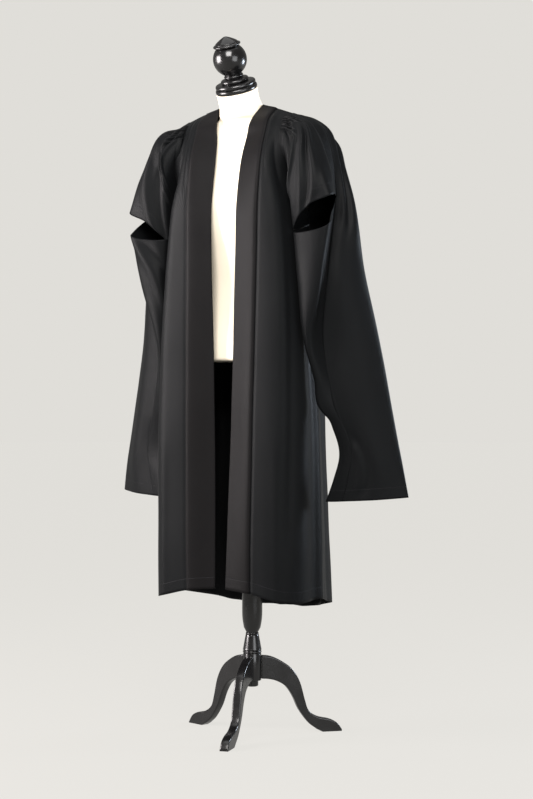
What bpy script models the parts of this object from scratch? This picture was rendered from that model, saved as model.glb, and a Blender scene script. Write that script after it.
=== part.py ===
"""An open graduation gown with long closed sleeves, worn by a limbless dress form on a turned stand.

Metres, +Z up. The gown faces -Y, its left and right are those of someone looking at its front, and the
origin is on the floor under the middle of the whole.
"""
import math

import bmesh
import bpy
import numpy as np
from mathutils import Matrix, Vector

# Cloth sizes
WALL = 0.002
SEAM_GAP = 0.0003
TURNED_SEAM_GAP = 0.0012
RIDGE_GAP = 0.0014
LAID_GAP = 0.0004
SLEEVE_SET_IN = np.array([0.0020, 0.0, 0.0])
FRONT_HEM = 0.369
BACK_HEM = 0.304

# Dress form and stand sizes
TORSO_BOTTOM = 0.914
TORSO_SIDES = 28
NECK_LEAN = math.radians(25)
CAP_CENTRE = Vector((0.0, -0.075, 1.571))
CAP_RADIUS = 0.051
CAP_THICK = 0.011
CAP_EDGE = 0.0025
BALL_RADIUS = 0.0408
BALL_LOW = math.radians(-57)
BALL_HIGH = math.radians(52)
TURNED_STEPS = 20
LEG_THICK = 0.021
LEG_COUNT = 3
FRONT_LEG_TURN = math.radians(13.3)
LEG_ROOT_GAP = 0.0003

# The whole is moved by this much, so that the floor under its middle is the origin
WHOLE_SHIFT = Vector((0.0, 0.030, 0.0))

# Grid sizes, in faces
BODY_ROWS = 20
FRONT_FACES = (3, 7)
YOKE_FACES = (24, 6)
NECK_FACING_ROWS = 2
BACK_FACES = 16
BACK_ARMHOLE_ROWS = 4
ARMHOLE_ROWS = 6
SIDE_ROWS = BODY_ROWS - ARMHOLE_ROWS + 1
SLEEVE_BACK_ACROSS_FACES = 16
SLEEVE_UPPER_FACES = (26, 7)
SLEEVE_LOWER_FACES = (8, 12)
SLIT_LEVELS = (0.26, 0.27)
EDGE_FADE = 0.06

# A fold's shape: how far past its ends it runs, over what share it dies away, and how tight its bell is
FOLD_OVERRUN = 0.30
FOLD_FADE = 0.30
FOLD_TIGHTNESS = 1.6
GATHER_FADE_POWER = 1.5


def rows_of(columns, *rows):
    """Turns a table into a list of dictionaries, one for each row, keyed by the names of its columns."""
    names = columns.split()
    return [dict(zip(names, row)) for row in rows]


# The half front, from the opening edge to the side seam, a row for each level from the hem up to the
# shoulder ridge. Each place is (x, y, z).
FRONT = rows_of(
    "level edge seam fold side",
    (0.00, (0.0166, -0.1500, FRONT_HEM), (0.0865, -0.162, 0.363),
     (0.184, -0.130, 0.341), (0.206, -0.02, 0.346)),
    (0.16, (0.0205, -0.1425, 0.580), (0.0893, -0.162, 0.580),
     (0.184, -0.130, 0.575), (0.202, -0.02, 0.570)),
    (0.34, (0.0260, -0.1370, 0.800), (0.0920, -0.157, 0.800),
     (0.182, -0.128, 0.800), (0.194, -0.02, 0.800)),
    (0.52, (0.0310, -0.1355, 1.000), (0.0950, -0.152, 1.000),
     (0.174, -0.124, 1.000), (0.177, -0.02, 1.000)),
    (0.66, (0.0355, -0.1370, 1.170), (0.0970, -0.148, 1.170),
     (0.162, -0.119, 1.170), (0.168, -0.02, 1.160)),
    (0.75, (0.0368, -0.1345, 1.275), (0.0980, -0.146, 1.275),
     (0.150, -0.116, 1.280), (0.162, -0.02, 1.270)),
    (0.82, (0.0375, -0.1230, 1.345), (0.0980, -0.138, 1.350),
     (0.132, -0.117, 1.350), (0.154, -0.070, 1.335)),
    (0.88, (0.0388, -0.1110, 1.400), (0.0975, -0.127, 1.407),
     (0.124, -0.116, 1.405), (0.148, -0.098, 1.395)),
    (0.93, (0.0435, -0.0975, 1.447), (0.0975, -0.110, 1.452),
     (0.122, -0.105, 1.450), (0.147, -0.096, 1.445)),
    (0.97, (0.0505, -0.0870, 1.490), (0.0980, -0.089, 1.493),
     (0.122, -0.085, 1.487), (0.147, -0.081, 1.480)),
    (1.00, (0.0620, -0.0530, 1.529), (0.0980, -0.055, 1.519),
     (0.122, -0.056, 1.511), (0.147, -0.055, 1.502)),
)
FRONT_ACROSS = (0.0, 0.30, 0.70, 1.0)
FRONT_UNDERARM_LEVEL = 0.75

# The half yoke, from the centre back to the armhole, from the shoulder ridge and neckline down the back
YOKE = rows_of(
    "level centre quarter neck middle side",
    (0.00, (0.0, 0.020, 1.524), (0.040, -0.002, 1.528), (0.062, -0.053, 1.529),
     (0.098, -0.055, 1.519), (0.147, -0.055, 1.502)),
    (0.33, (0.0, 0.045, 1.500), (0.042, 0.035, 1.502), (0.070, 0.000, 1.508),
     (0.104, -0.008, 1.500), (0.151, -0.012, 1.483)),
    (0.66, (0.0, 0.074, 1.456), (0.045, 0.070, 1.456), (0.078, 0.052, 1.460),
     (0.110, 0.045, 1.452), (0.154, 0.032, 1.445)),
    (1.00, (0.0, 0.098, 1.390), (0.047, 0.095, 1.390), (0.080, 0.087, 1.390),
     (0.114, 0.077, 1.391), (0.157, 0.060, 1.393)),
)
YOKE_ACROSS = (0.0, 0.28, 0.50, 0.72, 1.0)

# The half back, from the centre back to the side seam, from the yoke down to the hem
BACK = rows_of(
    "level centre quarter middle side",
    (0.00, (0.0, 0.098, 1.390), (0.060, 0.092, 1.390), (0.114, 0.077, 1.391), (0.157, 0.060, 1.393)),
    (0.07, (0.0, 0.104, 1.325), (0.066, 0.099, 1.325), (0.122, 0.082, 1.325), (0.160, 0.045, 1.325)),
    (0.13, (0.0, 0.108, 1.270), (0.070, 0.104, 1.270), (0.129, 0.083, 1.270), (0.162, -0.02, 1.270)),
    (0.2344, (0.0, 0.114, 1.165), (0.075, 0.110, 1.165), (0.136, 0.082, 1.165), (0.168, -0.02, 1.160)),
    (0.3968, (0.0, 0.121, 1.000), (0.080, 0.117, 1.000), (0.142, 0.081, 1.000), (0.177, -0.02, 1.000)),
    (0.6056, (0.0, 0.128, 0.800), (0.085, 0.124, 0.800), (0.150, 0.081, 0.800), (0.194, -0.02, 0.800)),
    (0.8144, (0.0, 0.135, 0.570), (0.090, 0.131, 0.570), (0.158, 0.082, 0.570), (0.202, -0.02, 0.570)),
    (1.00, (0.0, 0.141, BACK_HEM), (0.093, 0.137, 0.306), (0.166, 0.088, 0.324), (0.206, -0.02, 0.346)),
)
BACK_ACROSS = (0.0, 0.34, 0.68, 1.0)

SLEEVE_MIDDLE = (0.215, -0.03)
SLEEVE_TRIM = {"left": TURNED_SEAM_GAP, "right": TURNED_SEAM_GAP, "top": SEAM_GAP}

# The upper sleeve front, from its outer seam round the front to its inner seam, from the armhole down to
# the upper lip of the elbow slit
SLEEVE_UPPER = rows_of(
    "level outer corner lip front inner",
    (0.00, (0.1500, -0.056, 1.503), (0.1505, -0.088, 1.472), (0.1495, -0.106, 1.447),
     (0.1520, -0.102, 1.400), (0.169, -0.024, 1.272)),
    (0.20, (0.1850, -0.050, 1.489), (0.1980, -0.105, 1.458), (0.1817, -0.121, 1.420),
     (0.1660, -0.115, 1.366), (0.174, -0.030, 1.264)),
    (0.45, (0.2220, -0.040, 1.462), (0.2230, -0.115, 1.410), (0.1963, -0.127, 1.370),
     (0.1720, -0.119, 1.322), (0.179, -0.036, 1.255)),
    (0.72, (0.2430, -0.032, 1.390), (0.2520, -0.123, 1.354), (0.2130, -0.130, 1.316),
     (0.1760, -0.117, 1.270), (0.184, -0.042, 1.246)),
    (1.00, (0.2510, -0.030, 1.302), (0.2790, -0.124, 1.291), (0.2260, -0.126, 1.271),
     (0.1780, -0.109, 1.222), (0.188, -0.048, 1.236)),
)
SLEEVE_UPPER_ACROSS = (0.0, 0.36, 0.55, 0.74, 1.0)

# The lower sleeve front, from its outer seam round the front edge to its inner seam, from the lower lip
# of the elbow slit down to the sleeve end
SLEEVE_LOWER = rows_of(
    "level outer crease front inner",
    (0.00, (0.2505, -0.034, 1.296), (0.2750, -0.120, 1.226),
     (0.1780, -0.108, 1.213), (0.189, -0.052, 1.233)),
    (0.28, (0.2420, -0.062, 1.100), (0.2500, -0.117, 1.100),
     (0.1880, -0.104, 1.100), (0.197, -0.056, 1.110)),
    (0.48, (0.2300, -0.060, 0.954), (0.2200, -0.098, 0.954),
     (0.2000, -0.092, 0.954), (0.208, -0.055, 0.960)),
    (0.60, (0.2440, -0.055, 0.870), (0.2300, -0.076, 0.870),
     (0.2140, -0.072, 0.870), (0.219, -0.050, 0.870)),
    (0.71, (0.2600, -0.049, 0.790), (0.2400, -0.058, 0.790),
     (0.2265, -0.053, 0.790), (0.233, -0.037, 0.790)),
    (0.73, (0.2660, -0.045, 0.775), (0.2500, -0.050, 0.775),
     (0.2380, -0.043, 0.775), (0.245, -0.029, 0.775)),
    (0.765, (0.2760, -0.038, 0.750), (0.2580, -0.042, 0.750),
     (0.2470, -0.035, 0.750), (0.254, -0.022, 0.750)),
    (0.85, (0.2900, -0.030, 0.690), (0.2690, -0.031, 0.690),
     (0.2590, -0.025, 0.690), (0.267, -0.012, 0.690)),
    (0.93, (0.2800, -0.032, 0.630), (0.2570, -0.037, 0.630),
     (0.2460, -0.031, 0.630), (0.254, -0.018, 0.630)),
    (1.00, (0.2680, -0.035, 0.579), (0.2430, -0.041, 0.578),
     (0.2270, -0.036, 0.578), (0.236, -0.023, 0.578)),
)
SLEEVE_LOWER_ACROSS = (0.0, 0.38, 0.78, 1.0)

# The sleeve back, from its outer seam round the back edge to its inner seam, from the armhole down to the
# sleeve end
SLEEVE_BACK = rows_of(
    "level outer face back_edge body_side inner",
    (0.00, (0.1500, -0.056, 1.503), (0.153, -0.015, 1.487),
     (0.1580, 0.035, 1.440), (0.1660, 0.056, 1.350), (0.169, -0.024, 1.272)),
    (0.05, (0.1850, -0.050, 1.489), (0.189, -0.010, 1.478),
     (0.1930, 0.036, 1.430), (0.1860, 0.056, 1.340), (0.174, -0.028, 1.262)),
    (0.11, (0.2220, -0.040, 1.462), (0.226, -0.008, 1.450),
     (0.2260, 0.030, 1.405), (0.2040, 0.054, 1.320), (0.179, -0.034, 1.250)),
    (0.18, (0.2430, -0.032, 1.392), (0.246, -0.010, 1.385),
     (0.2470, 0.020, 1.355), (0.2160, 0.050, 1.290), (0.184, -0.040, 1.235)),
    (0.26, (0.2510, -0.030, 1.312), (0.266, -0.014, 1.305),
     (0.2730, 0.012, 1.290), (0.2280, 0.044, 1.240), (0.189, -0.048, 1.205)),
    (0.455, (0.2430, -0.062, 1.120), (0.282, -0.042, 1.120),
     (0.3060, 0.012, 1.120), (0.2500, 0.032, 1.110), (0.197, -0.054, 1.100)),
    (0.62, (0.2300, -0.060, 0.954), (0.295, -0.034, 0.954),
     (0.3360, 0.028, 0.954), (0.2740, 0.024, 0.954), (0.208, -0.053, 0.954)),
    (0.787, (0.2600, -0.046, 0.790), (0.324, -0.024, 0.790),
     (0.3680, 0.033, 0.790), (0.3000, 0.020, 0.790), (0.234, -0.035, 0.790)),
    (0.864, (0.2830, -0.031, 0.715), (0.339, -0.017, 0.715),
     (0.3820, 0.035, 0.715), (0.3190, 0.021, 0.715), (0.258, -0.017, 0.715)),
    (0.909, (0.2870, -0.029, 0.670), (0.348, -0.013, 0.670),
     (0.3910, 0.036, 0.672), (0.3290, 0.021, 0.672), (0.265, -0.012, 0.670)),
    (1.00, (0.2680, -0.035, 0.579), (0.342, -0.012, 0.583),
     (0.4070, 0.037, 0.589), (0.3250, 0.018, 0.584), (0.237, -0.022, 0.579)),
)
SLEEVE_BACK_ACROSS = (0.0, 0.24, 0.50, 0.76, 1.0)

# Soft folds, raised above a panel or sunk where the height is below zero. A fold's middle runs from
# (across_top, down_top) to (across_low, down_low), as shares of the panel.
FOLD_COLUMNS = "across_top down_top across_low down_low half_width height"
FRONT_FOLDS = rows_of(
    FOLD_COLUMNS,
    (0.86, 0.72, 0.80, 0.10, 0.10, 0.006),
    (0.94, 0.60, 0.93, 0.00, 0.06, -0.005),
    (0.55, 0.55, 0.50, 0.00, 0.16, 0.004),
)
SLEEVE_UPPER_FOLDS = rows_of(
    FOLD_COLUMNS,
    (0.34, 0.10, 0.62, 0.95, 0.09, 0.007),
    (0.26, 0.08, 0.40, 0.90, 0.08, 0.006),
    (0.44, 0.14, 0.84, 0.80, 0.07, 0.006),
    (0.30, 0.15, 0.50, 0.85, 0.06, -0.005),
    (0.16, 0.10, 0.16, 0.70, 0.08, -0.005),
    (0.50, 0.10, 0.72, 0.75, 0.06, -0.006),
)
SLEEVE_BACK_FOLDS = rows_of(
    FOLD_COLUMNS,
    (0.16, 0.02, 0.20, 0.30, 0.10, 0.005),
    (0.40, 0.02, 0.36, 0.34, 0.12, 0.006),
    (0.30, 0.03, 0.28, 0.30, 0.08, -0.005),
)
BACK_FOLDS = rows_of(
    FOLD_COLUMNS,
    (0.12, 0.05, 0.10, 1.00, 0.09, 0.007),
    (0.38, 0.05, 0.36, 1.00, 0.10, 0.009),
    (0.62, 0.06, 0.66, 1.00, 0.10, 0.008),
    (0.25, 0.10, 0.24, 1.00, 0.08, -0.006),
    (0.50, 0.08, 0.52, 1.00, 0.08, -0.006),
)

# Gathers: a run of small waves along a seam, as high as given at the seam and gone at the given share
SLEEVE_UPPER_GATHERS = {"start": 0.06, "stop": 0.46, "waves": 7, "height": 0.0030, "fades_at": 0.30}
SLEEVE_BACK_GATHERS = {"start": 0.03, "stop": 0.40, "waves": 6, "height": 0.0028, "fades_at": 0.10}
BACK_GATHERS = {"start": 0.06, "stop": 0.80, "waves": 9, "height": 0.0024, "fades_at": 0.22}

# The torso's rings, from the bottom up: height, half width, front and back, and how square the ring is
TORSO = rows_of(
    "z half_width front back square",
    (TORSO_BOTTOM, 0.160, -0.112, 0.098, 2.2),
    (0.960, 0.158, -0.110, 0.096, 2.2),
    (1.030, 0.138, -0.102, 0.084, 2.1),
    (1.100, 0.119, -0.099, 0.072, 2.1),
    (1.170, 0.124, -0.107, 0.076, 2.1),
    (1.240, 0.137, -0.121, 0.084, 2.1),
    (1.290, 0.143, -0.126, 0.088, 2.1),
    (1.350, 0.143, -0.114, 0.087, 2.2),
    (1.400, 0.146, -0.101, 0.079, 2.3),
    (1.440, 0.147, -0.089, 0.056, 2.3),
    (1.466, 0.138, -0.080, 0.022, 2.2),
    (1.482, 0.110, -0.076, 0.002, 2.1),
    (1.494, 0.074, -0.080, -0.006, 2.0),
)
# The neck's rings, square to its lean: distance back from the cap's underside and radius
NECK = rows_of("back_from_cap radius", (0.048, 0.0536), (0.036, 0.0505), (0.018, 0.0500), (0.0003, 0.0505))

# The turned finial above the cap disc, along the leaning neck: distance up from the disc and radius
FINIAL_RINGS = rows_of(
    "up radius",
    (0.0003, 0.0435), (0.0075, 0.0435), (0.0100, 0.0405), (0.0100, 0.0345), (0.0150, 0.0330),
    (0.0172, 0.0290), (0.0172, 0.0240), (0.0230, 0.0215), (0.0290, 0.0225),
)
BALL_UP = 0.0665
BALL_STEPS = 9
TIP_RINGS = rows_of(
    "up radius",
    (0.0985, 0.0310), (0.1020, 0.0335), (0.1055, 0.0310), (0.1080, 0.0200), (0.1110, 0.0130),
    (0.1160, 0.0105), (0.1200, 0.0060), (0.1225, 0.0),
)

# The turned column: height and radius, from the torso down to the hub
COLUMN = rows_of(
    "z radius",
    (TORSO_BOTTOM - 0.0003, 0.034), (0.904, 0.034), (0.896, 0.026), (0.880, 0.0150), (0.560, 0.0150),
    (0.540, 0.0200), (0.532, 0.0200), (0.520, 0.0160), (0.470, 0.0170), (0.420, 0.0205),
    (0.370, 0.0238), (0.320, 0.0248), (0.280, 0.0236), (0.262, 0.0205), (0.2500, 0.0150),
    (0.2450, 0.0160), (0.2300, 0.0190), (0.2120, 0.0222), (0.2080, 0.0232), (0.2030, 0.0232),
    (0.1993, 0.0222),
)
HUB = rows_of(
    "z radius",
    (0.1990, 0.0222), (0.1330, 0.0222), (0.1310, 0.0150), (0.1200, 0.0150), (0.1180, 0.0130),
)

# A leg's side outline: the upper edge from the hub out to the toe, and the lower edge back to the hub
LEG_TOP = rows_of(
    "out up",
    (0.0225, 0.1930), (0.0450, 0.1900), (0.0700, 0.1790), (0.0979, 0.1586), (0.1183, 0.1258),
    (0.1310, 0.0810), (0.1412, 0.0534), (0.1642, 0.0376), (0.1950, 0.0300),
     (0.2140, 0.0200), (0.2257, 0.0040),
)
LEG_SOLE = rows_of("out up", (0.2245, 0.0), (0.1760, 0.0))
LEG_UNDER = rows_of(
    "out up",
    (0.1600, 0.0080), (0.1400, 0.0240), (0.1157, 0.0568), (0.1005, 0.0897), (0.0827, 0.1153),
    (0.0600, 0.1290), (0.0400, 0.1345), (0.0225, 0.1360),
)


def curve_through(knots, values, at):
    """Reads a smooth curve through the values at the knots, as a cubic with the chords' mean slopes."""
    knots = np.asarray(knots, float)
    values = np.asarray(values, float)
    at = np.asarray(at, float)
    steps = np.diff(knots)
    slopes = np.diff(values, axis=0) / steps[:, None]
    tangents = np.empty_like(values)
    tangents[0], tangents[-1] = slopes[0], slopes[-1]
    before, after = steps[:-1, None], steps[1:, None]
    tangents[1:-1] = (slopes[:-1] * after + slopes[1:] * before) / (before + after)
    index = np.clip(np.searchsorted(knots, at, side="right") - 1, 0, len(steps) - 1)
    step = steps[index][:, None]
    share = ((at - knots[index]) / steps[index])[:, None]
    square, cube = share ** 2, share ** 3
    return (
        (2 * cube - 3 * square + 1) * values[index]
        + (cube - 2 * square + share) * step * tangents[index]
        + (3 * square - 2 * cube) * values[index + 1]
        + (cube - square) * step * tangents[index + 1]
    )


def panel_points(table, across_knots, across, down):
    """Reads a panel's surface from its table, as a grid with a row for each share down it."""
    levels = [row["level"] for row in table]
    names = [name for name in table[0] if name != "level"]
    columns = [curve_through(levels, [row[name] for row in table], down) for name in names]
    stacked = np.stack(columns, axis=0)
    return np.stack([curve_through(across_knots, stacked[:, j], across) for j in range(len(down))])


def outward_normals(points, centre_line):
    """The grid's unit normals, turned to point away from an upright line at (x, y)."""
    along = np.gradient(points, axis=1)
    down = np.gradient(points, axis=0)
    normals = np.cross(along, down)
    normals /= np.maximum(np.linalg.norm(normals, axis=2, keepdims=True), 1e-12)
    away = points.mean(axis=(0, 1))[:2] - np.asarray(centre_line)
    mean_normal = normals.mean(axis=(0, 1))[:2]
    return normals if mean_normal @ away > 0 else -normals


def fold_heights(folds, across, down):
    """Adds up the soft folds' heights over the grid."""
    heights = np.zeros((len(down), len(across)))
    for fold in folds:
        run = (down - fold["down_top"]) / (fold["down_low"] - fold["down_top"])
        middle = fold["across_top"] + (fold["across_low"] - fold["across_top"]) * run
        offset = (across[None, :] - middle[:, None]) / fold["half_width"]
        ends = np.clip((np.minimum(run, 1 - run) + FOLD_OVERRUN) / FOLD_FADE, 0, 1)
        bell = np.exp(-offset ** 2 * FOLD_TIGHTNESS)
        heights += fold["height"] * bell * (ends ** 2 * (3 - 2 * ends))[:, None]
    return heights


def gather_heights(gathers, across, down):
    """The small waves of a gathered seam, which die away down the panel."""
    share = (across - gathers["start"]) / (gathers["stop"] - gathers["start"])
    inside = np.clip(np.minimum(share, 1 - share) * gathers["waves"], 0, 1)
    waves = np.cos(2 * math.pi * share * gathers["waves"]) * inside
    fade = np.clip(1 - down / gathers["fades_at"], 0, 1)
    return gathers["height"] * np.outer(fade ** GATHER_FADE_POWER, waves)


def settle(points, heights, across, centre_line, held=(True, True)):
    """Moves a grid's points out along its normals, less and less towards each side edge that is held."""
    fade = np.ones(len(across))
    if held[0]:
        fade *= np.clip(across / EDGE_FADE, 0, 1)
    if held[1]:
        fade *= np.clip((1 - across) / EDGE_FADE, 0, 1)
    return points + outward_normals(points, centre_line) * (heights * fade)[:, :, None]


def trim(points, edges):
    """Draws the named edges of a grid in, each by its gap."""
    points = points.copy()
    for edge, gap in edges.items():
        here, inside = {
            "left": (np.s_[:, 0], np.s_[:, 1]),
            "right": (np.s_[:, -1], np.s_[:, -2]),
            "top": (np.s_[0, :], np.s_[1, :]),
            "low": (np.s_[-1, :], np.s_[-2, :]),
        }[edge]
        way = points[inside] - points[here]
        points[here] += way / np.linalg.norm(way, axis=-1, keepdims=True) * gap
    return points


def mirrored(points):
    """The same grid on the other side of the gown."""
    return points * np.array([-1.0, 1.0, 1.0])


def new_object(name, mesh, material):
    """Puts a mesh in the gown's collection, with its material, moved with the whole."""
    made = bpy.data.objects.new(name, mesh)
    made.data.materials.append(material)
    made.parent = WHOLE
    COLLECTION.objects.link(made)
    return made


def cloth_panel(name, points, material, wall=WALL):
    """Makes a cloth wall: a grid moved to the panel's points and given its thickness."""
    rows, columns = points.shape[:2]
    grid = bmesh.new()
    bmesh.ops.create_grid(grid, x_segments=columns - 1, y_segments=rows - 1, size=1.0)
    for vertex in grid.verts:
        column = round((vertex.co.x + 1) / 2 * (columns - 1))
        row = round((vertex.co.y + 1) / 2 * (rows - 1))
        vertex.co = points[row, column]
    mesh = bpy.data.meshes.new(name)
    grid.to_mesh(mesh)
    grid.free()
    mesh.shade_smooth()
    panel = new_object(name, mesh, material)
    thick = panel.modifiers.new("Wall", "SOLIDIFY")
    thick.thickness = wall
    thick.offset = 0.0
    return panel


def closed_loft(name, rings, material):
    """Makes a smooth closed body through rings of points, capped at both ends."""
    body = bmesh.new()
    made = [[body.verts.new(point) for point in ring] for ring in rings]
    for lower, upper in zip(made, made[1:]):
        for index, vertex in enumerate(lower):
            after = (index + 1) % len(lower)
            body.faces.new((vertex, lower[after], upper[after], upper[index]))
    body.faces.new(reversed(made[0]))
    body.faces.new(made[-1])
    bmesh.ops.recalc_face_normals(body, faces=body.faces)
    mesh = bpy.data.meshes.new(name)
    body.to_mesh(mesh)
    body.free()
    mesh.shade_smooth()
    return new_object(name, mesh, material)


def turned_piece(name, profile, material, place=Matrix.Identity(4)):
    """Makes a turned piece from (height, radius) rows that run from its top down its outer side."""
    outline = bmesh.new()
    points = [outline.verts.new((radius, 0.0, height)) for height, radius in profile]
    for first, second in zip(points, points[1:]):
        outline.edges.new((first, second))
    mesh = bpy.data.meshes.new(name)
    outline.to_mesh(mesh)
    outline.free()
    made = new_object(name, mesh, material)
    made.matrix_local = place
    spin = made.modifiers.new("Turning", "SCREW")
    spin.steps = spin.render_steps = TURNED_STEPS
    spin.use_merge_vertices = True
    spin.merge_threshold = 0.00005
    spin.use_smooth_shade = True
    return made


def material_of(name, hex_colour, roughness, metallic=0.0):
    """A plain finish from an sRGB colour."""
    made = bpy.data.materials.new(name)
    made.use_nodes = True
    shader = made.node_tree.nodes["Principled BSDF"]
    parts = [int(hex_colour[i:i + 2], 16) / 255 for i in (0, 2, 4)]
    linear = [c / 12.92 if c <= 0.04045 else ((c + 0.055) / 1.055) ** 2.4 for c in parts]
    shader.inputs["Base Color"].default_value = (*linear, 1.0)
    shader.inputs["Roughness"].default_value = roughness
    shader.inputs["Metallic"].default_value = metallic
    return made


def both_sides(name, points, edges_on_right, material):
    """Makes a panel and its mirror image. The table's own side is the right one."""
    trimmed = trim(points, edges_on_right)
    cloth_panel(f"{name}_right", trimmed, material)
    cloth_panel(f"{name}_left", mirrored(trimmed), material)


def front_levels():
    """The front's rows: even ones below the underarm, and those of the armhole above it."""
    below = np.linspace(0.0, FRONT_UNDERARM_LEVEL, SIDE_ROWS)
    above = np.linspace(FRONT_UNDERARM_LEVEL, 1.0, ARMHOLE_ROWS + 1)
    return np.concatenate([below, above[1:]])


def make_fronts(material):
    """The two fronts, and the facing bands that lie on them."""
    seam = FRONT_ACROSS[1]
    across = np.concatenate([
        np.linspace(0.0, seam, FRONT_FACES[0] + 1),
        np.linspace(seam, 1.0, FRONT_FACES[1] + 1)[1:],
    ])
    down = front_levels()
    points = panel_points(FRONT, FRONT_ACROSS, across, down)
    heights = fold_heights(FRONT_FOLDS, across, down)
    points = settle(points, heights, across, (0.0, 0.0), held=(False, True))
    both_sides("front", points, {"right": SEAM_GAP, "low": RIDGE_GAP}, material)
    band = points[:, :FRONT_FACES[0] + 1]
    lift = np.full(band.shape[:2], WALL + LAID_GAP)
    out = outward_normals(points, (0.0, 0.0))[:, :FRONT_FACES[0] + 1]
    both_sides("facing", band + out * lift[:, :, None], {"low": 2 * RIDGE_GAP}, material)
    return points[:SIDE_ROWS, -1]


def make_yoke(material):
    """The back yoke with its neck facing band."""
    half = np.linspace(0.0, 1.0, YOKE_FACES[0] // 2 + 1)
    down = np.linspace(0.0, 1.0, YOKE_FACES[1] + 1)
    right = panel_points(YOKE, YOKE_ACROSS, half, down)
    shoulder = half >= YOKE_ACROSS[2]
    front_shares = (FRONT_ACROSS[0], FRONT_ACROSS[1], FRONT_ACROSS[3])
    shares = np.interp(half[shoulder], YOKE_ACROSS[2:], front_shares)
    ridge = [FRONT[-1][name] for name in ("edge", "seam", "fold", "side")]
    right[0, shoulder] = curve_through(FRONT_ACROSS, ridge, shares)
    points = np.concatenate([mirrored(right)[:, :0:-1], right], axis=1)
    trims = {"left": SEAM_GAP, "right": SEAM_GAP, "top": RIDGE_GAP, "low": SEAM_GAP}
    cloth_panel("yoke", trim(points, trims), material)
    middle = YOKE_ACROSS[3]
    across = np.concatenate([-half[:0:-1], half])
    inside = np.abs(across) <= middle
    out = outward_normals(points, (0.0, 0.0)) * (WALL + LAID_GAP)
    band = (points + out)[:NECK_FACING_ROWS + 1, inside]
    cloth_panel("neck_facing", trim(band, {"top": 2 * RIDGE_GAP}), material)


def make_backs(material, side_seam):
    """The two backs, gathered under the yoke, with the fronts' side seams."""
    across = np.linspace(0.0, 1.0, BACK_FACES + 1)
    underarm = BACK[2]["level"]
    down = np.concatenate([
        np.linspace(0.0, underarm, BACK_ARMHOLE_ROWS + 1),
        np.linspace(underarm, 1.0, SIDE_ROWS)[1:],
    ])
    points = panel_points(BACK, BACK_ACROSS, across, down)
    heights = fold_heights(BACK_FOLDS, across, down)
    heights += gather_heights(BACK_GATHERS, across, down)
    points = settle(points, heights, across, (0.0, 0.0))
    points[-SIDE_ROWS:, -1] = side_seam[::-1]
    both_sides("back", points, {"left": SEAM_GAP, "right": SEAM_GAP, "top": SEAM_GAP}, material)


def make_sleeves(material):
    """Each sleeve's three lengths: upper front, lower front, and the back that joins both."""
    centre = SLEEVE_MIDDLE
    across = np.linspace(0.0, 1.0, SLEEVE_UPPER_FACES[0] + 1)
    upper_down = np.linspace(0.0, 1.0, SLEEVE_UPPER_FACES[1] + 1)
    upper = panel_points(SLEEVE_UPPER, SLEEVE_UPPER_ACROSS, across, upper_down) - SLEEVE_SET_IN
    heights = fold_heights(SLEEVE_UPPER_FOLDS, across, upper_down)
    heights += gather_heights(SLEEVE_UPPER_GATHERS, across, upper_down)
    both_sides("sleeve_upper", settle(upper, heights, across, centre), SLEEVE_TRIM, material)

    across = np.linspace(0.0, 1.0, SLEEVE_LOWER_FACES[0] + 1)
    lower_down = np.linspace(0.0, 1.0, SLEEVE_LOWER_FACES[1] + 1)
    lower = panel_points(SLEEVE_LOWER, SLEEVE_LOWER_ACROSS, across, lower_down) - SLEEVE_SET_IN
    both_sides("sleeve_lower", lower, SLEEVE_TRIM, material)

    across = np.linspace(0.0, 1.0, SLEEVE_BACK_ACROSS_FACES + 1)
    slit_top, slit_low = SLIT_LEVELS
    down = np.concatenate([upper_down * slit_top, slit_low + lower_down * (1 - slit_low)])
    points = panel_points(SLEEVE_BACK, SLEEVE_BACK_ACROSS, across, down) - SLEEVE_SET_IN
    heights = fold_heights(SLEEVE_BACK_FOLDS, across, down)
    heights += gather_heights(SLEEVE_BACK_GATHERS, across, down)
    points = settle(points, heights, across, centre)
    for edge in (0, -1):
        points[:, edge] = np.concatenate([upper[:, edge], lower[:, edge]])
    both_sides("sleeve_back", points, SLEEVE_TRIM, material)


def torso_ring(row):
    """One level ring of the torso: a rounded oval that may be squarer than an ellipse."""
    middle = (row["front"] + row["back"]) / 2
    depth = (row["back"] - row["front"]) / 2
    ring = []
    for index in range(TORSO_SIDES):
        turn = 2 * math.pi * index / TORSO_SIDES
        cosine, sine = math.cos(turn), math.sin(turn)
        power = 2 / row["square"]
        x = row["half_width"] * math.copysign(abs(cosine) ** power, cosine)
        y = middle + depth * math.copysign(abs(sine) ** power, sine)
        ring.append(Vector((x, y, row["z"])))
    return ring


def neck_axis():
    """The way the neck points: up, and leaning forward."""
    return Vector((0.0, -math.sin(NECK_LEAN), math.cos(NECK_LEAN)))


def neck_ring(back_from_cap, radius):
    """One ring of the neck, square to its axis, at a distance back from the cap's underside."""
    axis = neck_axis()
    forward = Vector((0.0, -math.cos(NECK_LEAN), -math.sin(NECK_LEAN)))
    centre = CAP_CENTRE - axis * (back_from_cap + CAP_THICK / 2)
    ring = []
    for index in range(TORSO_SIDES):
        turn = 2 * math.pi * index / TORSO_SIDES
        sideways = Vector((radius * math.cos(turn), 0.0, 0.0))
        ring.append(centre + sideways - forward * (radius * math.sin(turn)))
    return ring


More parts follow.
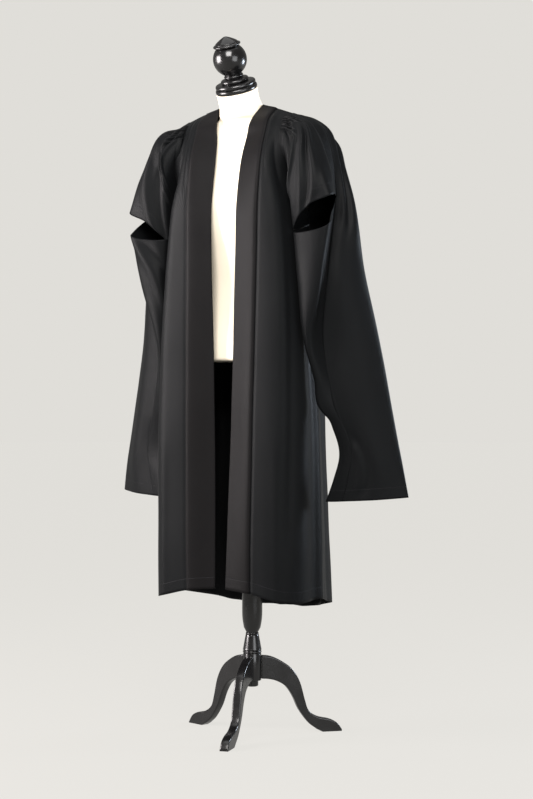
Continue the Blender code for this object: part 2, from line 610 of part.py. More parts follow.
def make_form(cover, paint):
    """The torso with its neck, the cap disc and the turned finial."""
    rings = [torso_ring(row) for row in TORSO]
    rings += [neck_ring(row["back_from_cap"], row["radius"]) for row in NECK]
    closed_loft("torso", rings, cover)
    lean = Matrix.Translation(CAP_CENTRE) @ Matrix.Rotation(NECK_LEAN, 4, "X")
    half = CAP_THICK / 2
    disc = [
        (half, 0.0), (half, CAP_RADIUS - CAP_EDGE), (half - CAP_EDGE, CAP_RADIUS),
        (CAP_EDGE - half, CAP_RADIUS), (-half, CAP_RADIUS - CAP_EDGE), (-half, 0.0),
    ]
    turned_piece("neck_cap", disc, paint, lean)
    turns = np.linspace(BALL_LOW, BALL_HIGH, BALL_STEPS + 1)
    arc = [(BALL_UP + BALL_RADIUS * math.sin(turn), BALL_RADIUS * math.cos(turn)) for turn in turns]
    profile = [(half + row["up"], row["radius"]) for row in FINIAL_RINGS]
    profile = [(half + FINIAL_RINGS[0]["up"], 0.0)] + profile
    profile += [(half + up, radius) for up, radius in arc]
    profile += [(half + row["up"], row["radius"]) for row in TIP_RINGS]
    turned_piece("finial", profile[::-1], paint, lean)


def leg_line(table):
    """A leg's edge, with a point between each two of its table."""
    places = [(row["out"], row["up"]) for row in table]
    steps = np.linspace(0, len(table) - 1, 2 * len(table) - 1)
    return [tuple(point) for point in curve_through(range(len(table)), places, steps)]


def turned_profile(table):
    """A turned piece's outline from its table, closed onto its axis at both ends."""
    outline = [(row["z"], row["radius"]) for row in table]
    return [(outline[0][0], 0.0)] + outline + [(outline[-1][0], 0.0)]


def make_stand(paint):
    """The turned column, the hub and the three carved legs."""
    turned_piece("column", turned_profile(COLUMN), paint)
    turned_piece("hub", turned_profile(HUB), paint)
    outline = leg_line(LEG_TOP) + [(row["out"], row["up"]) for row in LEG_SOLE] + leg_line(LEG_UNDER)
    for index in range(LEG_COUNT):
        flat = bpy.data.curves.new(f"leg_{index + 1}", "CURVE")
        flat.dimensions = "2D"
        flat.fill_mode = "BOTH"
        flat.extrude = LEG_THICK / 2
        line = flat.splines.new("POLY")
        line.points.add(len(outline) - 1)
        for point, (out, up) in zip(line.points, outline):
            point.co = (out + LEG_ROOT_GAP, up, 0.0, 1.0)
        line.use_cyclic_u = True
        leg = new_object(flat.name, flat, paint)
        turn = FRONT_LEG_TURN - math.pi / 2 + index * 2 * math.pi / LEG_COUNT
        stand_up = Matrix.Rotation(math.pi / 2, 4, "X")
        leg.matrix_local = Matrix.Rotation(turn, 4, "Z") @ stand_up


def clear_scene():
    """Removes whatever the new scene starts with."""
    for item in list(bpy.data.objects):
        bpy.data.objects.remove(item, do_unlink=True)


clear_scene()
COLLECTION = bpy.data.collections.new("graduation_gown")
bpy.context.scene.collection.children.link(COLLECTION)
WHOLE = bpy.data.objects.new("whole", None)
WHOLE.location = WHOLE_SHIFT
COLLECTION.objects.link(WHOLE)

CLOTH = material_of("gown_cloth", "232325", 0.75)
FORM_COVER = material_of("form_cover", "F6EFE0", 0.8)
BLACK_PAINT = material_of("black_paint", "101011", 0.3)

make_form(FORM_COVER, BLACK_PAINT)
make_stand(BLACK_PAINT)
SIDE_SEAM = make_fronts(CLOTH)
make_yoke(CLOTH)
make_backs(CLOTH, SIDE_SEAM)
make_sleeves(CLOTH)
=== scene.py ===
# %% [markdown]
# A graduation gown hangs open on a dress form without arms or head. The frame holds plain solids for
# every cut piece. This lesson gives each of them its real look: thin black cloth with folds and gathers,
# a stretched cream cover, and a stand of turned and sawn wood under satin black paint.

# %% Load the frame
import math

import bmesh
import bpy
import numpy as np
from mathutils import Matrix, Vector, noise


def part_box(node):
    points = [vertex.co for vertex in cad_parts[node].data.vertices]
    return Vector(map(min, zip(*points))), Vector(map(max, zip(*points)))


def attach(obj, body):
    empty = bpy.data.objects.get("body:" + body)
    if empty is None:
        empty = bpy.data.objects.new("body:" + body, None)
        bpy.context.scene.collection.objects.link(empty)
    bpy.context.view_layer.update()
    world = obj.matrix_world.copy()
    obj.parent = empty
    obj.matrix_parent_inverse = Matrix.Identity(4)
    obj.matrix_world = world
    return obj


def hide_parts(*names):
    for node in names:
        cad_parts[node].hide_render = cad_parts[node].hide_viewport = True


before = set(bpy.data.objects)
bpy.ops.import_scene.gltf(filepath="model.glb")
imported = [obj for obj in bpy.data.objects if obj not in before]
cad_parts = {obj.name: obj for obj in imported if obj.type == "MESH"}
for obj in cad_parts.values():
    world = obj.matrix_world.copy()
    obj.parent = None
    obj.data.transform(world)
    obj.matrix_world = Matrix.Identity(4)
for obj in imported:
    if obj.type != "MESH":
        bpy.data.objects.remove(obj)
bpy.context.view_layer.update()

print("solids in the frame:", len(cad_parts))

# %% [markdown]
# All tables below are measured from the middle of the column's foot, because a maker would set the form
# up on its stand first. The frame says where the column stands, so the pieces land where the solids are.

# %% Where the stand is
COLUMN_LOW, COLUMN_HIGH = (Vector(corner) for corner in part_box("column"))
STAND_PLACE = Vector(((COLUMN_LOW.x + COLUMN_HIGH.x) / 2, (COLUMN_LOW.y + COLUMN_HIGH.y) / 2, 0.0))
TORSO_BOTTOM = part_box("torso")[0][2]
print("column stands at", tuple(round(v, 4) for v in STAND_PLACE), "torso starts at", round(TORSO_BOTTOM, 4))


# %% [markdown]
# A table with named columns is easier to read and to change than bare tuples. The first helper turns such
# a table into dictionaries. The second reads a smooth curve through a few places, so that a table needs
# only the places that decide the shape.

# %% Tables and curves
def rows_of(columns, *rows):
    """Turns a table into a list of dictionaries, one for each row, keyed by the names of its columns."""
    names = columns.split()
    return [dict(zip(names, row)) for row in rows]


def curve_through(knots, values, at):
    """Reads a smooth curve through the values at the knots, as a cubic with the chords' mean slopes."""
    knots = np.asarray(knots, float)
    values = np.asarray(values, float)
    at = np.asarray(at, float)
    steps = np.diff(knots)
    slopes = np.diff(values, axis=0) / steps[:, None]
    tangents = np.empty_like(values)
    tangents[0], tangents[-1] = slopes[0], slopes[-1]
    before, after = steps[:-1, None], steps[1:, None]
    tangents[1:-1] = (slopes[:-1] * after + slopes[1:] * before) / (before + after)
    index = np.clip(np.searchsorted(knots, at, side="right") - 1, 0, len(steps) - 1)
    step = steps[index][:, None]
    share = ((at - knots[index]) / steps[index])[:, None]
    square, cube = share ** 2, share ** 3
    return (
        (2 * cube - 3 * square + 1) * values[index]
        + (cube - 2 * square + share) * step * tangents[index]
        + (3 * square - 2 * cube) * values[index + 1]
        + (cube - square) * step * tangents[index + 1]
    )


# %% [markdown]
# The gown's panels are six short tables. A row is one level of a panel, and each place in it is (x, y, z)
# in metres from the column's foot. Only the side at +X is written down, and the other side is its mirror
# image. A flat pattern could be draped by simulation instead, but the gown hangs in straight, stiff falls,
# so places on the worn gown give its outline more surely.

# %% Cloth panels
SIDES = ("right", "left")
FRONT_HEM = 0.369
BACK_HEM = 0.304

# The half front, from the opening edge to the side seam, a row for each level from the hem up to the
# shoulder ridge. Each place is (x, y, z).
FRONT = rows_of(
    "level edge seam fold side",
    (0.00, (0.0166, -0.1500, FRONT_HEM), (0.0865, -0.162, 0.363),
     (0.184, -0.130, 0.341), (0.206, -0.02, 0.346)),
    (0.16, (0.0205, -0.1425, 0.580), (0.0893, -0.162, 0.580),
     (0.184, -0.130, 0.575), (0.202, -0.02, 0.570)),
    (0.34, (0.0260, -0.1370, 0.800), (0.0920, -0.157, 0.800),
     (0.182, -0.128, 0.800), (0.194, -0.02, 0.800)),
    (0.52, (0.0310, -0.1355, 1.000), (0.0950, -0.152, 1.000),
     (0.174, -0.124, 1.000), (0.177, -0.02, 1.000)),
    (0.66, (0.0355, -0.1370, 1.170), (0.0970, -0.148, 1.170),
     (0.162, -0.119, 1.170), (0.168, -0.02, 1.160)),
    (0.75, (0.0368, -0.1345, 1.275), (0.0980, -0.146, 1.275),
     (0.150, -0.116, 1.280), (0.162, -0.02, 1.270)),
    (0.82, (0.0375, -0.1230, 1.345), (0.0980, -0.138, 1.350),
     (0.132, -0.117, 1.350), (0.154, -0.070, 1.335)),
    (0.88, (0.0388, -0.1110, 1.400), (0.0975, -0.127, 1.407),
     (0.124, -0.116, 1.405), (0.148, -0.098, 1.395)),
    (0.93, (0.0435, -0.0975, 1.447), (0.0975, -0.110, 1.452),
     (0.122, -0.105, 1.450), (0.147, -0.096, 1.445)),
    (0.97, (0.0505, -0.0870, 1.490), (0.0980, -0.089, 1.493),
     (0.122, -0.085, 1.487), (0.147, -0.081, 1.480)),
    (1.00, (0.0620, -0.0530, 1.529), (0.0980, -0.055, 1.519),
     (0.122, -0.056, 1.511), (0.147, -0.055, 1.502)),
)
FRONT_ACROSS = (0.0, 0.30, 0.70, 1.0)
FRONT_UNDERARM_LEVEL = 0.75

# The half yoke, from the centre back to the armhole, from the shoulder ridge and neckline down the back
YOKE = rows_of(
    "level centre quarter neck middle side",
    (0.00, (0.0, 0.020, 1.524), (0.040, -0.002, 1.528), (0.062, -0.053, 1.529),
     (0.098, -0.055, 1.519), (0.147, -0.055, 1.502)),
    (0.33, (0.0, 0.045, 1.500), (0.042, 0.035, 1.502), (0.070, 0.000, 1.508),
     (0.104, -0.008, 1.500), (0.151, -0.012, 1.483)),
    (0.66, (0.0, 0.074, 1.456), (0.045, 0.070, 1.456), (0.078, 0.052, 1.460),
     (0.110, 0.045, 1.452), (0.154, 0.032, 1.445)),
    (1.00, (0.0, 0.098, 1.390), (0.047, 0.095, 1.390), (0.080, 0.087, 1.390),
     (0.114, 0.077, 1.391), (0.157, 0.060, 1.393)),
)
YOKE_ACROSS = (0.0, 0.28, 0.50, 0.72, 1.0)

# The half back, from the centre back to the side seam, from the yoke down to the hem
BACK = rows_of(
    "level centre quarter middle side",
    (0.00, (0.0, 0.098, 1.390), (0.060, 0.092, 1.390), (0.114, 0.077, 1.391), (0.157, 0.060, 1.393)),
    (0.07, (0.0, 0.104, 1.325), (0.066, 0.099, 1.325), (0.122, 0.082, 1.325), (0.160, 0.045, 1.325)),
    (0.13, (0.0, 0.108, 1.270), (0.070, 0.104, 1.270), (0.129, 0.083, 1.270), (0.162, -0.02, 1.270)),
    (0.2344, (0.0, 0.114, 1.165), (0.075, 0.110, 1.165), (0.136, 0.082, 1.165), (0.168, -0.02, 1.160)),
    (0.3968, (0.0, 0.121, 1.000), (0.080, 0.117, 1.000), (0.142, 0.081, 1.000), (0.177, -0.02, 1.000)),
    (0.6056, (0.0, 0.128, 0.800), (0.085, 0.124, 0.800), (0.150, 0.081, 0.800), (0.194, -0.02, 0.800)),
    (0.8144, (0.0, 0.135, 0.570), (0.090, 0.131, 0.570), (0.158, 0.082, 0.570), (0.202, -0.02, 0.570)),
    (1.00, (0.0, 0.141, BACK_HEM), (0.093, 0.137, 0.306), (0.166, 0.088, 0.324), (0.206, -0.02, 0.346)),
)
BACK_ACROSS = (0.0, 0.34, 0.68, 1.0)

# The upper sleeve front, from its outer seam round the front to its inner seam, from the armhole down to
# the upper lip of the elbow slit
SLEEVE_UPPER = rows_of(
    "level outer corner lip front inner",
    (0.00, (0.1500, -0.056, 1.503), (0.1505, -0.088, 1.472), (0.1495, -0.106, 1.447),
     (0.1520, -0.102, 1.400), (0.169, -0.024, 1.272)),
    (0.20, (0.1850, -0.050, 1.489), (0.1980, -0.105, 1.458), (0.1817, -0.121, 1.420),
     (0.1660, -0.115, 1.366), (0.174, -0.030, 1.264)),
    (0.45, (0.2220, -0.040, 1.462), (0.2230, -0.115, 1.410), (0.1963, -0.127, 1.370),
     (0.1720, -0.119, 1.322), (0.179, -0.036, 1.255)),
    (0.72, (0.2430, -0.032, 1.390), (0.2520, -0.123, 1.354), (0.2130, -0.130, 1.316),
     (0.1760, -0.117, 1.270), (0.184, -0.042, 1.246)),
    (1.00, (0.2510, -0.030, 1.302), (0.2790, -0.124, 1.291), (0.2260, -0.126, 1.271),
     (0.1780, -0.109, 1.222), (0.188, -0.048, 1.236)),
)
SLEEVE_UPPER_ACROSS = (0.0, 0.36, 0.55, 0.74, 1.0)

# The lower sleeve front, from its outer seam round the front edge to its inner seam, from the lower lip
# of the elbow slit down to the sleeve end
SLEEVE_LOWER = rows_of(
    "level outer crease front inner",
    (0.00, (0.2505, -0.034, 1.296), (0.2750, -0.120, 1.226),
     (0.1780, -0.108, 1.213), (0.189, -0.052, 1.233)),
    (0.28, (0.2420, -0.062, 1.100), (0.2500, -0.117, 1.100),
     (0.1880, -0.104, 1.100), (0.197, -0.056, 1.110)),
    (0.48, (0.2300, -0.060, 0.954), (0.2200, -0.098, 0.954),
     (0.2000, -0.092, 0.954), (0.208, -0.055, 0.960)),
    (0.60, (0.2440, -0.055, 0.870), (0.2300, -0.076, 0.870),
     (0.2140, -0.072, 0.870), (0.219, -0.050, 0.870)),
    (0.71, (0.2600, -0.049, 0.790), (0.2400, -0.058, 0.790),
     (0.2265, -0.053, 0.790), (0.233, -0.037, 0.790)),
    (0.73, (0.2660, -0.045, 0.775), (0.2500, -0.050, 0.775),
     (0.2380, -0.043, 0.775), (0.245, -0.029, 0.775)),
    (0.765, (0.2760, -0.038, 0.750), (0.2580, -0.042, 0.750),
     (0.2470, -0.035, 0.750), (0.254, -0.022, 0.750)),
    (0.85, (0.2900, -0.030, 0.690), (0.2690, -0.031, 0.690),
     (0.2590, -0.025, 0.690), (0.267, -0.012, 0.690)),
    (0.93, (0.2800, -0.032, 0.630), (0.2570, -0.037, 0.630),
     (0.2460, -0.031, 0.630), (0.254, -0.018, 0.630)),
    (1.00, (0.2680, -0.035, 0.579), (0.2430, -0.041, 0.578),
     (0.2270, -0.036, 0.578), (0.236, -0.023, 0.578)),
)
SLEEVE_LOWER_ACROSS = (0.0, 0.38, 0.78, 1.0)

# The sleeve back, from its outer seam round the back edge to its inner seam, from the armhole down to the
# sleeve end
SLEEVE_BACK = rows_of(
    "level outer face back_edge body_side inner",
    (0.00, (0.1500, -0.056, 1.503), (0.153, -0.015, 1.487),
     (0.1580, 0.035, 1.440), (0.1660, 0.056, 1.350), (0.169, -0.024, 1.272)),
    (0.05, (0.1850, -0.050, 1.489), (0.189, -0.010, 1.478),
     (0.1930, 0.036, 1.430), (0.1860, 0.056, 1.340), (0.174, -0.028, 1.262)),
    (0.11, (0.2220, -0.040, 1.462), (0.226, -0.008, 1.450),
     (0.2260, 0.030, 1.405), (0.2040, 0.054, 1.320), (0.179, -0.034, 1.250)),
    (0.18, (0.2430, -0.032, 1.392), (0.246, -0.010, 1.385),
     (0.2470, 0.020, 1.355), (0.2160, 0.050, 1.290), (0.184, -0.040, 1.235)),
    (0.26, (0.2510, -0.030, 1.312), (0.266, -0.014, 1.305),
     (0.2730, 0.012, 1.290), (0.2280, 0.044, 1.240), (0.189, -0.048, 1.205)),
    (0.455, (0.2430, -0.062, 1.120), (0.282, -0.042, 1.120),
     (0.3060, 0.012, 1.120), (0.2500, 0.032, 1.110), (0.197, -0.054, 1.100)),
    (0.62, (0.2300, -0.060, 0.954), (0.295, -0.034, 0.954),
     (0.3360, 0.028, 0.954), (0.2740, 0.024, 0.954), (0.208, -0.053, 0.954)),
    (0.787, (0.2600, -0.046, 0.790), (0.324, -0.024, 0.790),
     (0.3680, 0.033, 0.790), (0.3000, 0.020, 0.790), (0.234, -0.035, 0.790)),
    (0.864, (0.2830, -0.031, 0.715), (0.339, -0.017, 0.715),
     (0.3820, 0.035, 0.715), (0.3190, 0.021, 0.715), (0.258, -0.017, 0.715)),
    (0.909, (0.2870, -0.029, 0.670), (0.348, -0.013, 0.670),
     (0.3910, 0.036, 0.672), (0.3290, 0.021, 0.672), (0.265, -0.012, 0.670)),
    (1.00, (0.2680, -0.035, 0.579), (0.342, -0.012, 0.583),
     (0.4070, 0.037, 0.589), (0.3250, 0.018, 0.584), (0.237, -0.022, 0.579)),
)
SLEEVE_BACK_ACROSS = (0.0, 0.24, 0.50, 0.76, 1.0)

print("levels: front", len(FRONT), "yoke", len(YOKE), "back", len(BACK), "sleeve back", len(SLEEVE_BACK))

# %% [markdown]
# Loose cloth falls in long folds from where it is held, and no two of them hang alike, so each side has its
# own. A fold's middle runs from (across_top, down_top) to (across_low, down_low), as shares of the panel,
# and bows sideways between them. It is raised above the panel, or sunk where its height is below zero.

# %% Folds and gathers
FOLD_COLUMNS = "side across_top down_top across_low down_low bow half_width height"
FRONT_FOLDS = rows_of(
    FOLD_COLUMNS,
    ("both", 0.86, 0.72, 0.80, 0.10, 0.00, 0.10, 0.006),
    ("both", 0.94, 0.60, 0.93, 0.00, 0.00, 0.06, -0.005),
    ("right", 0.62, 0.78, 0.50, 0.02, 0.02, 0.13, 0.002),
    ("right", 0.74, 0.80, 0.68, 0.20, 0.00, 0.06, -0.003),
    ("left", 0.62, 0.74, 0.60, 0.00, 0.00, 0.14, 0.006),
    ("left", 0.70, 0.90, 0.74, 0.55, 0.00, 0.05, -0.004),
    ("right", 0.36, 0.97, 0.42, 0.84, 0.00, 0.05, -0.0016),
    ("left", 0.42, 0.97, 0.38, 0.82, 0.00, 0.06, -0.0018),
    ("both", 0.55, 0.20, 0.57, -0.20, 0.00, 0.05, 0.0016),
)
SLEEVE_UPPER_FOLDS = rows_of(
    FOLD_COLUMNS,
    ("right", 0.34, 0.12, 0.62, 0.95, 0.03, 0.080, 0.0065),
    ("right", 0.30, 0.12, 0.47, 0.86, -0.03, 0.060, 0.0055),
    ("right", 0.40, 0.10, 0.73, 0.50, 0.04, 0.050, 0.0055),
    ("right", 0.52, 0.05, 0.72, 0.38, 0.02, 0.035, -0.0055),
    ("right", 0.34, 0.22, 0.55, 0.90, 0.00, 0.045, -0.0050),
    ("right", 0.10, 0.25, 0.09, 0.80, 0.00, 0.060, -0.0055),
    ("right", 0.18, 0.15, 0.20, 0.85, 0.00, 0.060, 0.0045),
    ("left", 0.36, 0.06, 0.68, 0.30, -0.03, 0.050, 0.0055),
    ("left", 0.50, 0.06, 0.78, 0.50, -0.03, 0.045, 0.0045),
    ("left", 0.46, 0.08, 0.72, 0.42, -0.04, 0.035, -0.0050),
    ("left", 0.26, 0.20, 0.58, 0.95, 0.00, 0.100, 0.0060),
    ("left", 0.62, 0.45, 0.70, 1.00, 0.00, 0.070, -0.0050),
    ("left", 0.14, 0.12, 0.14, 0.80, 0.00, 0.080, -0.0050),
)
SLEEVE_LOWER_FOLDS = rows_of(
    FOLD_COLUMNS,
    ("right", 0.20, 0.02, 0.16, 0.36, 0.00, 0.090, -0.0050),
    ("left", 0.40, 0.00, 0.72, 0.34, 0.00, 0.080, 0.0045),
    ("left", 0.58, 0.04, 0.84, 0.30, 0.00, 0.070, -0.0040),
    ("both", 0.50, 0.45, 0.55, 1.00, 0.00, 0.160, 0.0020),
)
SLEEVE_BACK_FOLDS = rows_of(
    FOLD_COLUMNS,
    ("both", 0.16, 0.02, 0.20, 0.30, 0.00, 0.10, 0.005),
    ("both", 0.40, 0.02, 0.36, 0.34, 0.00, 0.12, 0.006),
    ("both", 0.30, 0.03, 0.28, 0.30, 0.00, 0.08, -0.005),
    ("right", 0.24, 0.30, 0.22, 0.72, 0.00, 0.08, -0.002),
    ("right", 0.10, 0.86, 0.16, 0.97, 0.02, 0.05, -0.0028),
    ("right", 0.06, 0.88, 0.10, 0.96, 0.01, 0.04, 0.0024),
    ("left", 0.50, 0.20, 0.46, 0.90, 0.02, 0.10, 0.006),
    ("both", 0.62, 0.10, 0.66, 0.80, 0.00, 0.09, -0.003),
    ("both", 0.82, 0.15, 0.80, 0.90, 0.00, 0.08, 0.004),
)
BACK_FOLDS = rows_of(
    FOLD_COLUMNS,
    ("both", 0.12, 0.05, 0.10, 1.00, 0.01, 0.09, 0.0075),
    ("right", 0.38, 0.05, 0.36, 1.00, -0.02, 0.10, 0.0090),
    ("left", 0.36, 0.05, 0.40, 1.00, 0.02, 0.09, 0.0085),
    ("both", 0.62, 0.06, 0.66, 1.00, 0.01, 0.10, 0.0080),
    ("both", 0.25, 0.10, 0.24, 1.00, 0.00, 0.07, -0.0065),
    ("both", 0.50, 0.08, 0.52, 1.00, 0.00, 0.07, -0.0065),
    ("right", 0.78, 0.10, 0.82, 0.90, 0.00, 0.06, -0.0040),
)

# Gathers: a run of small waves along a seam, as high as given at the seam and gone at the given share
SLEEVE_UPPER_GATHERS = {"start": 0.14, "stop": 0.50, "waves": 10, "height": 0.0064, "fades_at": 0.16}
SLEEVE_BACK_GATHERS = {"start": 0.03, "stop": 0.40, "waves": 9, "height": 0.0024, "fades_at": 0.09}
BACK_GATHERS = {"start": 0.06, "stop": 0.84, "waves": 14, "height": 0.0024, "fades_at": 0.17}
ALL_FOLDS = FRONT_FOLDS + SLEEVE_UPPER_FOLDS + SLEEVE_LOWER_FOLDS + SLEEVE_BACK_FOLDS + BACK_FOLDS
print("folds:", len(ALL_FOLDS))

# %% [markdown]
# Every finish below is a small tree of nodes. One helper adds a node, sets it and links it. A colour is
# picked as an sRGB hex value, as in a paint shop, and turned to the linear values that a shader needs.

# %% Colours and nodes
def linear(hex_colour):
    """Turns an sRGB hex colour into linear red, green, blue and an alpha of one."""
    parts = [int(hex_colour[i:i + 2], 16) / 255 for i in (0, 2, 4)]
    return (*(c / 12.92 if c <= 0.04045 else ((c + 0.055) / 1.055) ** 2.4 for c in parts), 1.0)


def add_node(tree, kind, settings=None, inputs=None):
    """Adds a node. An input's value is a number, a colour, or the output that feeds it."""
    node = tree.nodes.new(kind)
    for name, value in (settings or {}).items():
        setattr(node, name, value)
    for name, value in (inputs or {}).items():
        if isinstance(value, bpy.types.NodeSocket):
            tree.links.new(value, node.inputs[name])
        else:
            node.inputs[name].default_value = value
    return node


def new_finish(name, values):
    """Starts a material whose shader has the given socket values, and gives its tree and shader."""
    material = bpy.data.materials.new(name)
    material.use_nodes = True
    shader = material.node_tree.nodes["Principled BSDF"]
    for socket, value in values.items():
        shader.inputs[socket].default_value = value
    return material, material.node_tree, shader


# %% [markdown]
# The gown is a light polyester twill, dyed black. Twill shows fine slanting ribs, about 0.5 mm apart, and
# a soft sheen where light grazes it. The ribs are drawn 2.3 mm apart here, because real ones would be
# finer than the picture can show. They follow the cloth by its own map, which is in metres, and a hem's
# stitches lie at a real distance from the cut edge. A slow change of tone keeps the black from going flat.

# %% Gown cloth
RIB_SPACING = 0.0022931
SLANTED_WAVE_REPEAT = 2 * math.pi / 10 / math.sqrt(2)
STITCH_LENGTH = 0.0036
STITCH_WIDTH = 0.0011
HEM_DEPTH = 0.028


def gown_cloth(name, dark, light):
    """Black twill in two tones, with a row of hem stitches."""
    material, tree, shader = new_finish(name, {
        "Roughness": 0.45, "Specular IOR Level": 0.055, "Sheen Weight": 0.01, "Sheen Roughness": 0.5,
    })
    cloth_map = add_node(tree, "ShaderNodeUVMap", {"uv_map": "cloth_metres"})
    axes = add_node(tree, "ShaderNodeSeparateXYZ", inputs={0: cloth_map.outputs["UV"]})
    body = add_node(tree, "ShaderNodeTexCoord")
    tone = add_node(tree, "ShaderNodeTexNoise", inputs={
        "Vector": body.outputs["Object"], "Scale": 7.0, "Detail": 4.0, "Roughness": 0.55,
    })
    shade = add_node(tree, "ShaderNodeMix", {"data_type": "RGBA"}, {
        "Factor": tone.outputs["Fac"], "A": linear(dark), "B": linear(light),
    })
    ribs = add_node(tree, "ShaderNodeTexWave", {"bands_direction": "DIAGONAL"}, {
        "Vector": cloth_map.outputs["UV"], "Scale": SLANTED_WAVE_REPEAT / RIB_SPACING,
        "Distortion": 0.6,
        "Detail": 2.0, "Detail Scale": 3.0,
    })
    from_line = add_node(tree, "ShaderNodeMath", {"operation": "SUBTRACT"}, {
        0: axes.outputs["Y"], 1: HEM_DEPTH,
    })
    off_line = add_node(tree, "ShaderNodeMath", {"operation": "ABSOLUTE"}, {0: from_line.outputs[0]})
    near_line = add_node(tree, "ShaderNodeMapRange", {"interpolation_type": "SMOOTHSTEP"}, {
        "Value": off_line.outputs[0], "From Min": STITCH_WIDTH, "From Max": STITCH_WIDTH / 3,
    })
    along = add_node(tree, "ShaderNodeMath", {"operation": "PINGPONG"}, {
        0: axes.outputs["X"], 1: STITCH_LENGTH / 2,
    })
    thread = add_node(tree, "ShaderNodeMapRange", {"interpolation_type": "SMOOTHSTEP"}, {
        "Value": along.outputs[0], "From Min": STITCH_LENGTH * 0.08, "From Max": STITCH_LENGTH * 0.16,
    })
    stitches = add_node(tree, "ShaderNodeMath", {"operation": "MULTIPLY"}, {
        0: near_line.outputs[0], 1: thread.outputs[0],
    })
    rib_bump = add_node(tree, "ShaderNodeBump", inputs={
        "Strength": 0.3, "Distance": 0.0005, "Height": ribs.outputs["Fac"],
    })
    line_bump = add_node(tree, "ShaderNodeBump", {"invert": True}, {
        "Strength": 0.5, "Distance": 0.0006, "Height": near_line.outputs[0],
        "Normal": rib_bump.outputs["Normal"],
    })
    stitched = add_node(tree, "ShaderNodeMix", {"data_type": "RGBA"}, {
        "Factor": stitches.outputs[0], "A": shade.outputs["Result"], "B": linear("161618"),
    })
    tree.links.new(stitched.outputs["Result"], shader.inputs["Base Color"])
    tree.links.new(line_bump.outputs["Normal"], shader.inputs["Normal"])
    return material


TWILL = gown_cloth("black_polyester_twill", "0B0C0D", "101112")
FACING_TWILL = gown_cloth("black_facing_twill", "0E0D0E", "131212")
print("twill ribs every", round(RIB_SPACING * 1000, 1), "mm, hem stitches", HEM_DEPTH * 1000, "mm up")

# %% [markdown]
# The form's cover is cream cotton jersey, stretched over padding. Its stitches are about 1 mm wide, too
# fine for this picture, so they are drawn as very shallow cells 2 mm wide. The cover is matte, with a faint
# warm change of tone where pins and handling have worn it.

# %% Form cover
KNIT_WIDTH = 0.002
JERSEY, TREE, SHADER = new_finish("cream_cotton_jersey", {
    "Roughness": 0.82, "Specular IOR Level": 0.3, "Sheen Weight": 0.12, "Sheen Roughness": 0.5,
})
COORDS = add_node(TREE, "ShaderNodeTexCoord")
WEAR = add_node(TREE, "ShaderNodeTexNoise", inputs={
    "Vector": COORDS.outputs["Object"], "Scale": 5.0, "Detail": 5.0, "Roughness": 0.6,
})
CREAM = add_node(TREE, "ShaderNodeMix", {"data_type": "RGBA"}, {
    "Factor": WEAR.outputs["Fac"], "A": linear("F7EBD3"), "B": linear("FFF3DE"),
})
KNIT = add_node(TREE, "ShaderNodeTexVoronoi", {"feature": "SMOOTH_F1"}, {
    "Vector": COORDS.outputs["Object"], "Scale": 1.0 / KNIT_WIDTH, "Smoothness": 0.6,
})
KNIT_BUMP = add_node(TREE, "ShaderNodeBump", inputs={
    "Strength": 0.2, "Distance": 0.0004, "Height": KNIT.outputs["Distance"],
})
TREE.links.new(CREAM.outputs["Result"], SHADER.inputs["Base Color"])
TREE.links.new(KNIT_BUMP.outputs["Normal"], SHADER.inputs["Normal"])
print("jersey loops every", KNIT_WIDTH * 1000, "mm")

# %% [markdown]
# The stand and its finial are beech, turned and sawn, then sprayed black. Paint over wood is glossy but
# not a mirror: brushed-out grain, about 3 mm apart, waves its surface a little, and handling dulls it in
# patches. So the roughness varies slowly and a long, faint grain gives the bump.

# %% Painted wood
GRAIN_SPACING = 0.003
PAINT, TREE, SHADER = new_finish("satin_black_paint_on_beech", {
    "Specular IOR Level": 0.5, "Coat Weight": 0.10, "Coat Roughness": 0.25,
})
COORDS = add_node(TREE, "ShaderNodeTexCoord")
STRETCH = add_node(TREE, "ShaderNodeMapping", inputs={
    "Vector": COORDS.outputs["Object"], "Scale": (1.0, 1.0, 0.12),
})
GRAIN = add_node(TREE, "ShaderNodeTexNoise", inputs={
    "Vector": STRETCH.outputs["Vector"], "Scale": 1.0 / GRAIN_SPACING, "Detail": 3.0,
})
HANDLING = add_node(TREE, "ShaderNodeTexNoise", inputs={
    "Vector": COORDS.outputs["Object"], "Scale": 26.0, "Detail": 4.0,
})
DULL = add_node(TREE, "ShaderNodeMapRange", inputs={
    "Value": HANDLING.outputs["Fac"], "From Min": 0.3, "From Max": 0.7, "To Min": 0.17, "To Max": 0.30,
})
BLACK = add_node(TREE, "ShaderNodeMix", {"data_type": "RGBA"}, {
    "Factor": HANDLING.outputs["Fac"], "A": linear("090909"), "B": linear("111011"),
})
GRAIN_BUMP = add_node(TREE, "ShaderNodeBump", inputs={
    "Strength": 0.12, "Distance": 0.0004, "Height": GRAIN.outputs["Fac"],
})
TREE.links.new(BLACK.outputs["Result"], SHADER.inputs["Base Color"])
TREE.links.new(DULL.outputs["Result"], SHADER.inputs["Roughness"])
TREE.links.new(GRAIN_BUMP.outputs["Normal"], SHADER.inputs["Normal"])
print("paint shows grain every", GRAIN_SPACING * 1000, "mm")


# %% [markdown]
# A cloth panel is a grid. Its table gives the places of a few key points at some levels, and two smooth
# curves, one down and one across, fill in the rest. Its outward normals are needed too, because folds,
# seams and laid bands all stand out from the panel or sink into it.

# %% Panel surfaces
SHORTEST_NORMAL = 1e-12


def panel_points(table, across_knots, across, down):
    """Reads a panel's surface from its table, as a grid with a row for each share down it."""
    levels = [row["level"] for row in table]
    names = [name for name in table[0] if name != "level"]
    columns = [curve_through(levels, [row[name] for row in table], down) for name in names]
    stacked = np.stack(columns, axis=0)
    return np.stack([curve_through(across_knots, stacked[:, j], across) for j in range(len(down))])


